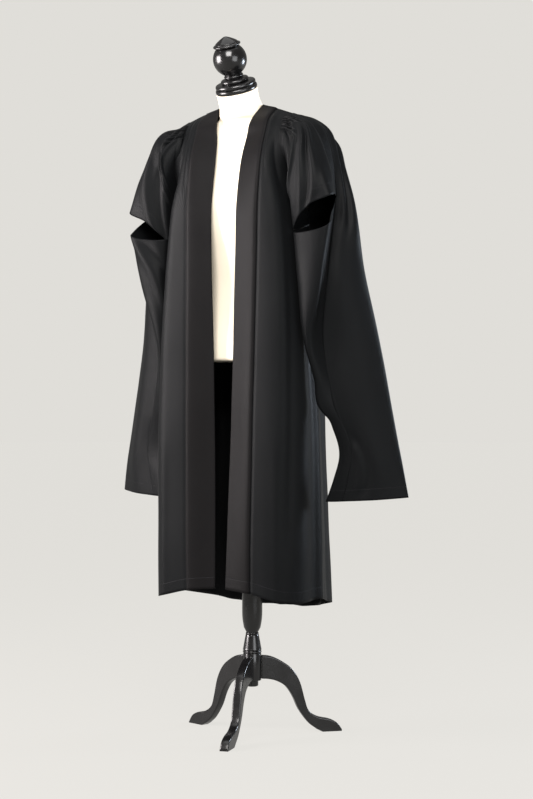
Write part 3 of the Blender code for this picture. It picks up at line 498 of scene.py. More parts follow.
def outward_normals(points, centre_line):
    """The grid's unit normals, turned to point away from an upright line at (x, y)."""
    normals = np.cross(np.gradient(points, axis=1), np.gradient(points, axis=0))
    normals /= np.maximum(np.linalg.norm(normals, axis=2, keepdims=True), SHORTEST_NORMAL)
    away = points.mean(axis=(0, 1))[:2] - np.asarray(centre_line)
    return normals if normals.mean(axis=(0, 1))[:2] @ away > 0 else -normals


def mirrored(points):
    """The same grid on the other side of the gown."""
    return (points * np.array([-1.0, 1.0, 1.0]))[:, ::-1]


places = panel_points(BACK, BACK_ACROSS, np.array([0.0, 1.0]), np.array([0.0, 1.0]))
print("the back is", round(float(places[0, 0, 2] - places[1, 0, 2]), 3), "m long below the yoke")

# %% [markdown]
# Folds are soft bells laid over that surface along a line, raised or sunk. Gathers are small waves at a
# seam, which die away from it, each a little wider or longer than the next. The cloth between them is
# never quite flat, so every panel also swells a little, more slowly on the large panels.

# %% Folds, gathers and swells
FOLD_OVERRUN = 0.30
FOLD_FADE = 0.30
FOLD_TIGHTNESS = 1.6
GATHER_FADE_POWER = 1.3
GATHER_DRIFTS = rows_of("much turns start", (0.9, 9.1, 0.7), (0.5, 17.3, 0.0))
GATHER_LENGTHS = {"much": 0.45, "turns": 13.7, "start": 1.9}
SWELLS = {
    row["panel"]: row for row in rows_of(
        "panel height size",
        ("front", 0.0016, 0.16), ("yoke", 0.0010, 0.09), ("back", 0.0018, 0.12),
        ("sleeve_upper", 0.0012, 0.07), ("sleeve_lower", 0.0014, 0.11), ("sleeve_back", 0.0016, 0.12),
    )
}


def fold_heights(folds, side, across, down):
    """Adds up the soft folds of one side over the grid."""
    heights = np.zeros((len(down), len(across)))
    for fold in folds:
        if fold["side"] not in ("both", side):
            continue
        run = (down - fold["down_top"]) / (fold["down_low"] - fold["down_top"])
        middle = fold["across_top"] + (fold["across_low"] - fold["across_top"]) * run
        middle = middle + fold["bow"] * 4 * run * (1 - run)
        offset = (across[None, :] - middle[:, None]) / fold["half_width"]
        ends = np.clip((np.minimum(run, 1 - run) + FOLD_OVERRUN) / FOLD_FADE, 0, 1)
        bell = np.exp(-offset ** 2 * FOLD_TIGHTNESS)
        heights += fold["height"] * bell * (ends ** 2 * (3 - 2 * ends))[:, None]
    return heights


def gather_heights(gathers, across, down):
    """The small waves of a gathered seam. Each is a little wider, narrower, longer or shorter."""
    share = (across - gathers["start"]) / (gathers["stop"] - gathers["start"])
    inside = np.clip(np.minimum(share, 1 - share) * gathers["waves"], 0, 1)
    drift = sum(row["much"] * np.sin(share * row["turns"] + row["start"]) for row in GATHER_DRIFTS)
    waves = np.cos(2 * math.pi * share * gathers["waves"] + drift) * inside
    uneven = GATHER_LENGTHS["much"] * np.sin(share * GATHER_LENGTHS["turns"] + GATHER_LENGTHS["start"])
    length = gathers["fades_at"] * (1 + uneven)
    fade = np.clip(1 - down[:, None] / length[None, :], 0, 1) ** GATHER_FADE_POWER
    return gathers["height"] * fade * waves[None, :]


def swell_heights(points, panel):
    """Slow, uneven swells that keep a hanging cloth from looking pressed."""
    flat = points.reshape(-1, 3) / SWELLS[panel]["size"]
    swells = [noise.noise(Vector(place), noise_basis="PERLIN_ORIGINAL") for place in flat]
    return SWELLS[panel]["height"] * np.array(swells).reshape(points.shape[:2])


print("a fold dies away over", FOLD_FADE, "of its length, past its ends")

# %% [markdown]
# A panel is sewn along some of its edges, so its folds flatten out towards those, and the seam's stitches
# pull the cloth in a little. Distances to an edge are measured along the cloth, as a tape would.

# %% Edges and seams
EDGE_FADE = 0.05
SEAM_DIP = 0.0009
SEAM_REACH = 0.005
BODY_MIDDLE = (0.0, 0.0)
SLEEVE_MIDDLE = (0.215, -0.03)


def settle(points, heights, centre_line, held=("left", "right")):
    """Moves a grid out along its normals, less and less towards each edge that is held."""
    rows, columns = heights.shape
    across = np.linspace(0, 1, columns)[None, :] * np.ones((rows, 1))
    down = np.linspace(0, 1, rows)[:, None] * np.ones((1, columns))
    reach = {"left": across, "right": 1 - across, "top": down, "low": 1 - down}
    fade = np.ones((rows, columns))
    for edge in held:
        fade *= np.clip(reach[edge] / EDGE_FADE, 0, 1)
    return points + outward_normals(points, centre_line) * (heights * fade)[:, :, None]


def edge_distance(points, edge):
    """How far each point lies from an edge, measured along the cloth."""
    if edge in ("left", "right"):
        steps = np.linalg.norm(np.diff(points, axis=1), axis=2)
        from_left = np.concatenate([np.zeros((len(points), 1)), np.cumsum(steps, axis=1)], axis=1)
        return from_left if edge == "left" else from_left[:, -1:] - from_left
    steps = np.linalg.norm(np.diff(points, axis=0), axis=2)
    from_top = np.concatenate([np.zeros((1, points.shape[1])), np.cumsum(steps, axis=0)], axis=0)
    return from_top if edge == "top" else from_top[-1:] - from_top


def seam_in(points, edges, centre_line, depth=SEAM_DIP):
    """Dips the cloth towards its sewn edges."""
    dip = np.zeros(points.shape[:2])
    for edge in edges:
        dip = np.maximum(dip, np.exp(-(edge_distance(points, edge) / SEAM_REACH) ** 2))
    return points - outward_normals(points, centre_line) * (dip * depth)[:, :, None]


print("a seam dips", SEAM_DIP * 1000, "mm")

# %% [markdown]
# Every piece ends in the same way: its shape becomes the mesh of an object and gets its finish. One small
# helper does this for cloth, jersey, wood and the studio's floor alike.

# %% From shape to piece
def new_object(name, shape, finish):
    """Turns a finished bmesh into an object of one finish."""
    mesh = bpy.data.meshes.new(name)
    shape.to_mesh(mesh)
    shape.free()
    piece = bpy.data.objects.new(name, mesh)
    bpy.context.scene.collection.objects.link(piece)
    mesh.materials.append(finish)
    return piece


print("finishes ready:", ", ".join(material.name for material in (TWILL, FACING_TWILL, JERSEY, PAINT)))

# %% [markdown]
# Each cut piece becomes one object. A flat grid from an operator is moved onto the panel's places, which
# keeps its faces in tidy rows along the cloth. The map written beside it gives every corner its distance
# across the cloth and from the hem in metres, so weave and stitches keep their real size. Solidify then
# gives the sheet its thickness.

# %% One sheet of cloth
CLOTH_WALL = 0.0011

# A panel without a hem is mapped this far up from one, so that it gets no row of stitches
FAR_FROM_HEM = 5.0


def cloth_piece(name, points, finish, node, hem=None):
    """Makes one sewn sheet that stands for a solid of the frame. The hem is the grid's top or low edge."""
    rows, columns = points.shape[:2]
    across_cloth = edge_distance(points, "left")
    up_cloth = edge_distance(points, hem or "top") + (0.0 if hem else FAR_FROM_HEM)
    grid = bmesh.new()
    bmesh.ops.create_grid(grid, x_segments=columns - 1, y_segments=rows - 1, size=1.0)
    places = {}
    for vertex in grid.verts:
        column = round((vertex.co.x + 1) / 2 * (columns - 1))
        row = round((vertex.co.y + 1) / 2 * (rows - 1))
        places[vertex] = (row, column)
        vertex.co = Vector(points[row, column]) + STAND_PLACE
    cloth_map = grid.loops.layers.uv.new("cloth_metres")
    for face in grid.faces:
        face.smooth = True
        for loop in face.loops:
            place = places[loop.vert]
            loop[cloth_map].uv = (across_cloth[place], up_cloth[place])
    area = sum(face.calc_area() for face in grid.faces)
    sheet = new_object(name, grid, finish)
    thick = sheet.modifiers.new("Wall", "SOLIDIFY")
    thick.thickness = CLOTH_WALL
    thick.offset = 0.0
    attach(sheet, "root")
    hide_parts(node)


# %% [markdown]
# The front hangs from the shoulder to the hem. Its panel turns round a soft fold at the form's side and
# runs back to the side seam. The wide facing band along the opening is a second layer: it is laid on the
# front and turned over the edge to the inside, as a dressmaker would, so the edge looks round and thick.

# %% Bands and the chest
# A laid band: how far it turns in behind the edge, in how many steps, and how high it lies on the front
TURNED_IN = 0.014
TURN_STEPS = 5
LAID_HEIGHT = 0.0018

# The left armhole seam stands further out than the right one, most of all at the height of the chest
CHEST_LET_OUT = {"right": 0.0, "left": 0.020}
CHEST_HEIGHT = 1.385
CHEST_REACH = 0.075


def turned_edge(points, out, lift, edge_column, inward):
    """Columns that carry a laid band round an edge and a little way back on the inside."""
    columns = [edge_column - out * lift + inward * TURNED_IN]
    for turn in np.linspace(math.pi, 0.0, TURN_STEPS + 2)[:-1]:
        columns.append(edge_column + out * (lift * math.cos(turn)) - inward * (lift * math.sin(turn)))
    return np.concatenate([np.stack(columns, axis=1), points], axis=1)


def let_out(points, side, share):
    """Moves a panel out at the chest, by the given share of the whole way for each of its columns."""
    near_chest = np.exp(-((points[:, :, 2] - CHEST_HEIGHT) / CHEST_REACH) ** 2)
    moved = points.copy()
    moved[:, :, 0] += CHEST_LET_OUT[side] * near_chest * share[None, :]
    return moved


print("facing bands turn in by", TURNED_IN * 1000, "mm and lie", LAID_HEIGHT * 1000, "mm high")

# %% [markdown]
# The front's grid has its rows closer together round the armhole, and its columns closer beside the band,
# where a shallow groove shows that the cloth there is pulled down by the band's stitches. The front gives
# its side seam back, for the back panel to join without a gap.

# %% Fronts and facing bands
BODY_SHARES = np.linspace(0.0, FRONT_UNDERARM_LEVEL, 150)
ARMHOLE_SHARES = np.linspace(FRONT_UNDERARM_LEVEL, 1.0, 60)
BAND_COLUMNS = 19
BESIDE_BAND = 0.05
BESIDE_BAND_COLUMNS = 8
OUTER_COLUMNS = 48
GROOVES = {"right": 0.0026, "left": 0.0007}
GROOVE_REACH = 0.0045
BAND_EDGE_DIP = 0.45
BAND_EDGE_REACH = 0.003


def make_front(side):
    """One front and its facing band. Returns the side seam for the back to share."""
    seam = FRONT_ACROSS[1]
    across = np.concatenate([
        np.linspace(0.0, seam, BAND_COLUMNS),
        np.linspace(seam, seam + BESIDE_BAND, BESIDE_BAND_COLUMNS)[1:],
        np.linspace(seam + BESIDE_BAND, 1.0, OUTER_COLUMNS)[1:],
    ])
    down = np.concatenate([BODY_SHARES, ARMHOLE_SHARES[1:]])
    smooth = let_out(panel_points(FRONT, FRONT_ACROSS, across, down), side, across ** 4)
    heights = fold_heights(FRONT_FOLDS, side, across, down) + swell_heights(smooth, "front")
    shaped = settle(smooth, heights, BODY_MIDDLE, held=("right",))
    past_band = np.linalg.norm(shaped - shaped[:, BAND_COLUMNS:BAND_COLUMNS + 1], axis=2)
    groove = GROOVES[side] * np.exp(-(past_band / GROOVE_REACH) ** 2)
    shaped = shaped - outward_normals(shaped, BODY_MIDDLE) * groove[:, :, None]
    front = seam_in(shaped, ("right", "low"), BODY_MIDDLE)
    out = outward_normals(shaped, BODY_MIDDLE)[:, :BAND_COLUMNS]
    band = front[:, :BAND_COLUMNS] + out * LAID_HEIGHT
    edge_dip = np.exp(-(edge_distance(band, "right") / BAND_EDGE_REACH) ** 2)[:, :, None]
    band = band - out * edge_dip * (LAID_HEIGHT * BAND_EDGE_DIP)
    inward = front[:, 1] - front[:, 0]
    inward /= np.linalg.norm(inward, axis=1, keepdims=True)
    band = turned_edge(band, out[:, 0], LAID_HEIGHT, front[:, 0], inward)
    if side == "left":
        front, band = mirrored(front), mirrored(band)
    cloth_piece(f"front_{side}_cloth", front, TWILL, f"front_{side}", hem="top")
    cloth_piece(f"facing_{side}_cloth", band, FACING_TWILL, f"facing_{side}", hem="top")
    return shaped[:len(BODY_SHARES), -1]


SIDE_SEAMS = {side: make_front(side) for side in SIDES}

# %% [markdown]
# The yoke lies over both shoulders and the top of the back in one piece, and the neck facing carries the
# two bands round behind the neck. The yoke's shoulder line is the fronts' own top edge, so the two meet
# without a gap. Half of it comes from the table and the other half is its mirror image.

# %% Yoke and neck facing
YOKE_COLUMNS = 61
YOKE_ROWS = 46
NECK_BAND_ROWS = 14
half = np.linspace(0.0, 1.0, YOKE_COLUMNS)
down = np.linspace(0.0, 1.0, YOKE_ROWS)
yoke_half = panel_points(YOKE, YOKE_ACROSS, half, down)
shoulder = half >= YOKE_ACROSS[2]
front_places = (FRONT_ACROSS[0], FRONT_ACROSS[1], FRONT_ACROSS[3])
front_shares = np.interp(half[shoulder], YOKE_ACROSS[2:], front_places)
ridge = [FRONT[-1][place] for place in ("edge", "seam", "fold", "side")]
yoke_half[0, shoulder] = curve_through(FRONT_ACROSS, ridge, front_shares)
yoke = np.concatenate([mirrored(yoke_half)[:, :-1], yoke_half], axis=1)
yoke = settle(yoke, swell_heights(yoke, "yoke"), BODY_MIDDLE, held=("top", "low", "left", "right"))
yoke = seam_in(yoke, ("left", "right", "top", "low"), BODY_MIDDLE)
yoke_across = np.concatenate([-half[:0:-1], half])
neck_part = np.abs(yoke_across) <= YOKE_ACROSS[3]
out = outward_normals(yoke, BODY_MIDDLE)
neck_band = (yoke + out * LAID_HEIGHT)[:NECK_BAND_ROWS, neck_part]
cloth_piece("yoke_cloth", yoke, TWILL, "yoke")
cloth_piece("neck_facing_cloth", neck_band, FACING_TWILL, "neck_facing")

# %% [markdown]
# The two backs are wider than the yoke, so they are gathered onto it. The fullness leaves the gathers as
# deep, uneven pipes that run down to the hem. The side seam is shared with the front. The centre back
# seam is held in a little, which splits the pipes into two groups.

# %% Backs
BACK_COLUMNS = 72
BACK_TOP_ROWS = 36


def make_back(side):
    """One back with its gathers and pipes."""
    across = np.linspace(0.0, 1.0, BACK_COLUMNS)
    underarm = BACK[2]["level"]
    down = np.concatenate([
        np.linspace(0.0, underarm, BACK_TOP_ROWS),
        np.linspace(underarm, 1.0, len(BODY_SHARES))[1:],
    ])
    back = panel_points(BACK, BACK_ACROSS, across, down)
    heights = fold_heights(BACK_FOLDS, side, across, down) + gather_heights(BACK_GATHERS, across, down)
    heights += swell_heights(back, "back")
    back = settle(back, heights, BODY_MIDDLE)
    back[-len(BODY_SHARES):, -1] = SIDE_SEAMS[side][::-1]
    back = seam_in(back, ("left", "right", "top"), BODY_MIDDLE)
    if side == "left":
        back = mirrored(back)
    cloth_piece(f"back_{side}_cloth", back, TWILL, f"back_{side}", hem="low")


for side in SIDES:
    make_back(side)

# %% [markdown]
# A sleeve is made of three lengths. The upper front is gathered at the sleeve head, and its folds fan out
# and down to the lip of the elbow slit. The lower front starts below the slit and ends in the crescent
# that the sleeve is cut to. The back runs behind both in one length, and shares their two seams.

# %% How the sleeves hang
# Each lower sleeve's inner half hangs closer to the body by this much, from a height and over a drop
HANG_IN = {"right": 0.0, "left": 0.014}
HANG_FROM = 1.15
HANG_OVER = 0.30

# The left slit's upper lip sags more in its middle, and its outer corner is drawn up
LIP_DROP = {"right": 0.0, "left": 0.021}
CORNER_LIFT = {"right": 0.0, "left": 0.014}
SLEEVE_SET_IN = np.array([0.0020, 0.0, 0.0])
SEAM_ALLOWANCE = np.array([0.012, 0.0, 0.0])


def hang_in(points, side, across):
    """Lets the lower sleeve's inner half hang closer to the body, more and more going down."""
    drop = np.clip((HANG_FROM - points[:, :, 2]) / HANG_OVER, 0, 1)
    moved = points.copy()
    moved[:, :, 0] -= HANG_IN[side] * across[None, :] * drop
    return moved


def with_allowance(points):
    """Adds the narrow turning that lies hidden under the body's edge along the armhole."""
    return np.concatenate([points[:1] - SEAM_ALLOWANCE, points], axis=0)


print("sleeves set in by", SLEEVE_SET_IN[0] * 1000, "mm, turned under by", SEAM_ALLOWANCE[0] * 1000, "mm")

# %% [markdown]
# Each of the three lengths has a function of its own. The head of the upper front needs many columns for
# its gathers, and its rows crowd towards them. The back takes its two edge columns from the other two
# lengths before their folds, so all three meet along the seams.

# %% Sleeve lengths
HEAD_SHARE = 0.60
HEAD_COLUMNS = 210
UNDER_COLUMNS = 46
HEAD_CROWDING = 1.25
UPPER_ROWS = 64
LOWER_COLUMNS = 46
LOWER_ROWS = 150
SLEEVE_BACK_COLUMNS = 84
SLEEVE_SEAM_DIP = 0.0003
UPPER_SHARES = np.linspace(0.0, 1.0, UPPER_ROWS) ** HEAD_CROWDING
LOWER_SHARES = np.linspace(0.0, 1.0, LOWER_ROWS)

# The elbow slit's upper and lower lip, as shares down the sleeve's back
SLIT_LEVELS = (0.26, 0.27)


def upper_front(side):
    """The sleeve front above the slit: its plain surface, and the same with folds and gathers."""
    across = np.concatenate([
        np.linspace(0.0, HEAD_SHARE, HEAD_COLUMNS), np.linspace(HEAD_SHARE, 1.0, UNDER_COLUMNS)[1:],
    ])
    plain = panel_points(SLEEVE_UPPER, SLEEVE_UPPER_ACROSS, across, UPPER_SHARES) - SLEEVE_SET_IN
    lip_sag = LIP_DROP[side] * np.sin(math.pi * across) - CORNER_LIFT[side] * (1 - across) ** 2
    plain[:, :, 2] -= lip_sag[None, :] * (UPPER_SHARES ** 3)[:, None]
    plain = let_out(plain, side, across ** 3)
    heights = fold_heights(SLEEVE_UPPER_FOLDS, side, across, UPPER_SHARES)
    heights += gather_heights(SLEEVE_UPPER_GATHERS, across, UPPER_SHARES)
    heights += swell_heights(plain, "sleeve_upper")
    shaped = seam_in(settle(plain, heights, SLEEVE_MIDDLE), ("left", "right", "top"), SLEEVE_MIDDLE)
    return plain, shaped


def lower_front(side):
    """The sleeve front below the slit: its plain surface, and the same with folds."""
    across = np.linspace(0.0, 1.0, LOWER_COLUMNS)
    plain = panel_points(SLEEVE_LOWER, SLEEVE_LOWER_ACROSS, across, LOWER_SHARES) - SLEEVE_SET_IN
    plain = hang_in(plain, side, across)
    heights = fold_heights(SLEEVE_LOWER_FOLDS, side, across, LOWER_SHARES)
    heights += swell_heights(plain, "sleeve_lower")
    shaped = settle(plain, heights, SLEEVE_MIDDLE)
    return plain, seam_in(shaped, ("left", "right"), SLEEVE_MIDDLE, SLEEVE_SEAM_DIP)


def sleeve_back(side, upper, lower):
    """The sleeve's back in one length, with the edges of the two front lengths."""
    across = np.linspace(0.0, 1.0, SLEEVE_BACK_COLUMNS)
    slit_top, slit_low = SLIT_LEVELS
    down = np.concatenate([UPPER_SHARES * slit_top, slit_low + LOWER_SHARES * (1 - slit_low)])
    back = panel_points(SLEEVE_BACK, SLEEVE_BACK_ACROSS, across, down) - SLEEVE_SET_IN
    back = hang_in(back, side, across)
    heights = fold_heights(SLEEVE_BACK_FOLDS, side, across, down)
    heights += gather_heights(SLEEVE_BACK_GATHERS, across, down)
    heights += swell_heights(back, "sleeve_back")
    back = settle(back, heights, SLEEVE_MIDDLE)
    for edge in (0, -1):
        back[:, edge] = np.concatenate([upper[:, edge], lower[:, edge]])
    return seam_in(back, ("left", "right", "top"), SLEEVE_MIDDLE)


print("sleeve heads have", HEAD_COLUMNS, "columns for", SLEEVE_UPPER_GATHERS["waves"], "gathers")

# %% [markdown]
# Both sleeves are now made and sewn on. The turning along the armhole is added last, after all folds, so
# that it stays hidden under the body's edge.


def make_sleeve(side):
    """One sleeve: upper front, lower front and back."""
    plain_upper, upper = upper_front(side)
    plain_lower, lower = lower_front(side)
    back = sleeve_back(side, plain_upper, plain_lower)
    upper, back = with_allowance(upper), with_allowance(back)
    if side == "left":
        upper, lower, back = mirrored(upper), mirrored(lower), mirrored(back)
    cloth_piece(f"sleeve_upper_{side}_cloth", upper, TWILL, f"sleeve_upper_{side}",
                hem="low")
    cloth_piece(f"sleeve_lower_{side}_cloth", lower, TWILL, f"sleeve_lower_{side}",
                hem="low")
    cloth_piece(f"sleeve_back_{side}_cloth", back, TWILL, f"sleeve_back_{side}",
                hem="low")


for side in SIDES:
    make_sleeve(side)

# %% [markdown]
# The form is a padded body, widest at the chest and the hips, with a neck that leans forward. It is drawn
# from sections: level ones for the torso, and ones square to the neck's lean above them.

# %% Torso sections
NECK_LEAN = math.radians(25)
CAP_CENTRE = Vector((0.0, -0.075, 1.571))
CAP_THICK = 0.011

# The torso's rings, from the bottom up: height, half width, front and back, and how square the ring is
TORSO = rows_of(
    "z half_width front back square",
    (TORSO_BOTTOM, 0.160, -0.112, 0.098, 2.2),
    (0.960, 0.158, -0.110, 0.096, 2.2),
    (1.030, 0.138, -0.102, 0.084, 2.1),
    (1.100, 0.119, -0.099, 0.072, 2.1),
    (1.170, 0.124, -0.107, 0.076, 2.1),
    (1.240, 0.137, -0.121, 0.084, 2.1),
    (1.290, 0.143, -0.126, 0.088, 2.1),
    (1.350, 0.143, -0.114, 0.087, 2.2),
    (1.400, 0.146, -0.101, 0.079, 2.3),
    (1.440, 0.147, -0.089, 0.056, 2.3),
    (1.466, 0.138, -0.080, 0.022, 2.2),
    (1.482, 0.110, -0.076, 0.002, 2.1),
    (1.494, 0.074, -0.080, -0.006, 2.0),
)

# The neck's rings, square to its lean: distance back from the cap's underside and radius
NECK = rows_of("back_from_cap radius", (0.048, 0.0536), (0.036, 0.0505), (0.018, 0.0500), (0.0003, 0.0505))
TORSO_SIDES = 96


def torso_section(z, half_width, front, back, square):
    """One level section of the torso: a rounded oval that may be squarer than an ellipse."""
    middle, depth = (front + back) / 2, (back - front) / 2
    section = []
    for turn in np.linspace(0, 2 * math.pi, TORSO_SIDES, endpoint=False):
        cosine, sine = math.cos(turn), math.sin(turn)
        x = half_width * math.copysign(abs(cosine) ** (2 / square), cosine)
        y = middle + depth * math.copysign(abs(sine) ** (2 / square), sine)
        section.append(Vector((x, y, z)))
    return section


def neck_section(back_from_cap, radius):
    """One section of the neck, square to its axis, at a distance back from the cap's underside."""
    axis = Vector((0.0, -math.sin(NECK_LEAN), math.cos(NECK_LEAN)))
    ahead = Vector((0.0, -math.cos(NECK_LEAN), -math.sin(NECK_LEAN)))
    centre = CAP_CENTRE - axis * (back_from_cap + CAP_THICK / 2)
    turns = np.linspace(0, 2 * math.pi, TORSO_SIDES, endpoint=False)
    return [centre + Vector((radius * math.cos(t), 0.0, 0.0)) - ahead * (radius * math.sin(t)) for t in turns]


print("sections: torso", len(TORSO), "neck", len(NECK))

# %% [markdown]
# The cover is stretched over the padding, so its surface is smooth and has no folds. A ring from an
# operator is moved to the lowest section, extruded upward and moved again, section by section, to the
# leaning neck. Smooth curves up the body fill in the sections between the given ones.

# %% Torso cover
COVER_LEVELS = 86
SMALLEST_RISE = 0.004


def smooth_sections(sections, levels):
    """Fills in sections between the given ones with smooth curves up the body."""
    places = np.array([[tuple(place) for place in section] for section in sections])
    flat = places.reshape(len(sections), -1)
    rises = np.linalg.norm(np.diff(places.mean(axis=1), axis=0), axis=1)
    knots = np.concatenate([[0.0], np.cumsum(np.maximum(rises, SMALLEST_RISE))])
    at = np.linspace(0.0, knots[-1], levels)
    return curve_through(knots, flat, at).reshape(levels, -1, 3)


keys = [torso_section(**row) for row in TORSO] + [neck_section(**row) for row in NECK]
sections = smooth_sections(keys, COVER_LEVELS)
body = bmesh.new()
ring = bmesh.ops.create_circle(body, cap_ends=True, segments=TORSO_SIDES, radius=1.0)["verts"]
ring.sort(key=lambda vertex: math.atan2(vertex.co.y, vertex.co.x) % (2 * math.pi))
for vertex, place in zip(ring, sections[0]):
    vertex.co = Vector(place)
edges = list(body.edges)
order = ring
for section in sections[1:]:
    made = bmesh.ops.extrude_edge_only(body, edges=edges)["geom"]
    edges = [item for item in made if isinstance(item, bmesh.types.BMEdge)]
    fresh = {item for item in made if isinstance(item, bmesh.types.BMVert)}
    following = []
    for vertex in order:
        above = next(e.other_vert(vertex) for e in vertex.link_edges if e.other_vert(vertex) in fresh)
        following.append(above)
    for vertex, place in zip(following, section):
        vertex.co = Vector(place)
    order = following
bmesh.ops.contextual_create(body, geom=edges)
bmesh.ops.recalc_face_normals(body, faces=body.faces)
bmesh.ops.translate(body, verts=body.verts, vec=STAND_PLACE)
for face in body.faces:
    face.smooth = len(face.verts) == 4
torso = new_object("torso_cover", body, JERSEY)
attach(torso, "root")
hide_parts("torso")
print("torso cover has", len(torso.data.polygons), "faces")

# %% [markdown]
# The cap, the finial, the column and the hub were turned on a lathe. Spinning an outline does the same: a
# chain of edges is spun once round its axis and welded. A narrow bevel on the sharp rims keeps a line of
# light on them, as sanded and painted wood does. The rounded beads that a turner cuts are one helper, and
# a hair's breadth is left where a piece sits on the next.

# %% Turned pieces
SPIN_STEPS = 72
WELD_DISTANCE = 0.00002
RIM_ROUND = 0.0007
RIM_SHARPNESS = math.radians(38)
SEAT_GAP = 0.0003
BEAD_COLUMNS = "height radius bulge thick steps"


def turned(name, outline, node, place=Matrix.Identity(4)):
    """Spins an outline of (height, radius) rows, from top to bottom, into a painted piece."""
    lathe = bmesh.new()
    chain = [lathe.verts.new((radius, 0.0, height)) for height, radius in outline]
    edges = [lathe.edges.new(pair) for pair in zip(chain, chain[1:])]
    bmesh.ops.spin(lathe, geom=chain + edges, cent=(0, 0, 0), axis=(0, 0, 1),
                   angle=2 * math.pi, steps=SPIN_STEPS, use_merge=True, use_duplicate=False)
    bmesh.ops.remove_doubles(lathe, verts=lathe.verts, dist=WELD_DISTANCE)
    bmesh.ops.recalc_face_normals(lathe, faces=lathe.faces)
    bmesh.ops.transform(lathe, matrix=Matrix.Translation(STAND_PLACE) @ place, verts=lathe.verts)
    for face in lathe.faces:
        face.smooth = True
    piece = new_object(name, lathe, PAINT)
    rims = piece.modifiers.new("Rims", "BEVEL")
    rims.width = RIM_ROUND
    rims.segments = 2
    rims.limit_method = "ANGLE"
    rims.angle_limit = RIM_SHARPNESS
    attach(piece, "root")
    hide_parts(node)
    print(name, "spun from", len(outline), "places")


def bead(height, radius, bulge, thick, steps):
    """A rounded bead on a turned outline, as (height, radius) rows going down."""
    turns = np.linspace(math.pi / 2, -math.pi / 2, steps + 1)
    return [(height + thick / 2 * math.sin(t), radius + bulge * math.cos(t)) for t in turns]


def turned_curve(table, count):
    """A smooth stretch of a turned outline through its table, as (height, radius) rows."""
    places = [(row["height"], row["radius"]) for row in table]
    steps = np.linspace(0, len(table) - 1, count)
    return [tuple(place) for place in curve_through(range(len(table)), places, steps)]


# %% [markdown]
# The cap closes the neck, and the finial stands on it in line with the neck's lean: a low cone over a ring,
# a large ball, and three beads that widen towards the cap. Heights are measured up from the cap, and the
# small steps between the beads are flat cuts.

# %% Cap and finial
CAP_RADIUS = 0.051
CAP_RIM = 0.003
BALL_UP = 0.0665
BALL_RADIUS = 0.0408
BALL_LOW = math.radians(-57)
BALL_HIGH = math.radians(52)
BALL_STEPS = 25
TIP_STEPS = 17
TIP_CONE = rows_of(
    "height radius",
    (0.1225, 0.0), (0.1212, 0.0045), (0.1182, 0.0108), (0.1140, 0.0182), (0.1092, 0.0252), (0.1058, 0.0284),
)
RING, NECKING, MIDDLE, PLINTH = (bead(**row) for row in rows_of(
    BEAD_COLUMNS,
    (0.1015, 0.0265, 0.0070, 0.0075, 8), (0.0262, 0.0200, 0.0035, 0.0060, 6),
    (0.0155, 0.0300, 0.0040, 0.0090, 6), (0.0052, 0.0462, 0.0030, 0.0096, 8),
))
NECKING_STEP = [(0.0225, 0.0215), (0.0205, 0.0260)]
MIDDLE_STEP = [(0.0105, 0.0320)]
LEAN = Matrix.Translation(CAP_CENTRE) @ Matrix.Rotation(NECK_LEAN, 4, "X")
HALF_CAP = CAP_THICK / 2
CAP_EDGE = bead(0.0, CAP_RADIUS - CAP_RIM, CAP_RIM, CAP_THICK, 10)
turned("neck_cap_disc", [(HALF_CAP, 0.0)] + CAP_EDGE + [(-HALF_CAP, 0.0)], "neck_cap", LEAN)

BALL = [(BALL_UP + BALL_RADIUS * math.sin(t), BALL_RADIUS * math.cos(t))
        for t in np.linspace(BALL_HIGH, BALL_LOW, BALL_STEPS)]
finial = turned_curve(TIP_CONE, TIP_STEPS) + RING + BALL
finial += NECKING + NECKING_STEP + MIDDLE + MIDDLE_STEP + PLINTH + [(SEAT_GAP, 0.0)]
turned("finial_turned", [(up + HALF_CAP, radius) for up, radius in finial], "finial", LEAN)

# %% [markdown]
# The column carries the torso on a round plate and ends in a slim vase above the hub, where the legs meet.
# Between them it is a plain pole. Coves and the vase are smooth curves, and beads mark where each begins.

# %% Column and hub
PLATE_TOP = TORSO_BOTTOM - SEAT_GAP
PLATE_RADIUS = 0.034
PLATE_STEP = [(0.9020, 0.0300)]
PLATE_COVE = rows_of("height radius", (0.902, 0.0300), (0.893, 0.0205), (0.880, 0.0150))
COVE_STEPS = 9
POLE_STEP = [(0.5285, 0.0155)]
VASE = rows_of(
    "height radius",
    (0.520, 0.0160), (0.470, 0.0170), (0.420, 0.0205), (0.370, 0.0238), (0.320, 0.0248), (0.280, 0.0236),
    (0.262, 0.0205),
)
VASE_STEPS = 40
FOOT = rows_of("height radius", (0.2450, 0.0160), (0.2300, 0.0190), (0.2120, 0.0222), (0.2080, 0.0232))
FOOT_STEPS = 12
COLUMN_END = 0.1993
HUB_RADIUS = 0.0222
HUB = rows_of(
    "height radius",
    (0.1990, HUB_RADIUS), (0.1330, HUB_RADIUS), (0.1310, 0.0150), (0.1200, 0.0150), (0.1180, 0.0130),
)
PLATE_EDGE, POLE_BEAD, VASE_BEAD, FOOT_BEAD = (bead(**row) for row in rows_of(
    BEAD_COLUMNS,
    (0.9085, 0.0310, 0.0030, 0.0085, 6), (0.5360, 0.0160, 0.0042, 0.0120, 8),
    (0.2475, 0.0140, 0.0022, 0.0050, 6), (0.2030, 0.0205, 0.0027, 0.0050, 6),
))
vase = [(row["height"], row["radius"]) for row in VASE]
vase_heights = np.linspace(vase[0][0], vase[-1][0], VASE_STEPS)
column = [(PLATE_TOP, 0.0), (PLATE_TOP, PLATE_RADIUS)]
column += PLATE_EDGE + PLATE_STEP + turned_curve(PLATE_COVE, COVE_STEPS)
column += POLE_BEAD + POLE_STEP
column += [tuple(row) for row in curve_through([-height for height, radius in vase], vase, -vase_heights)]
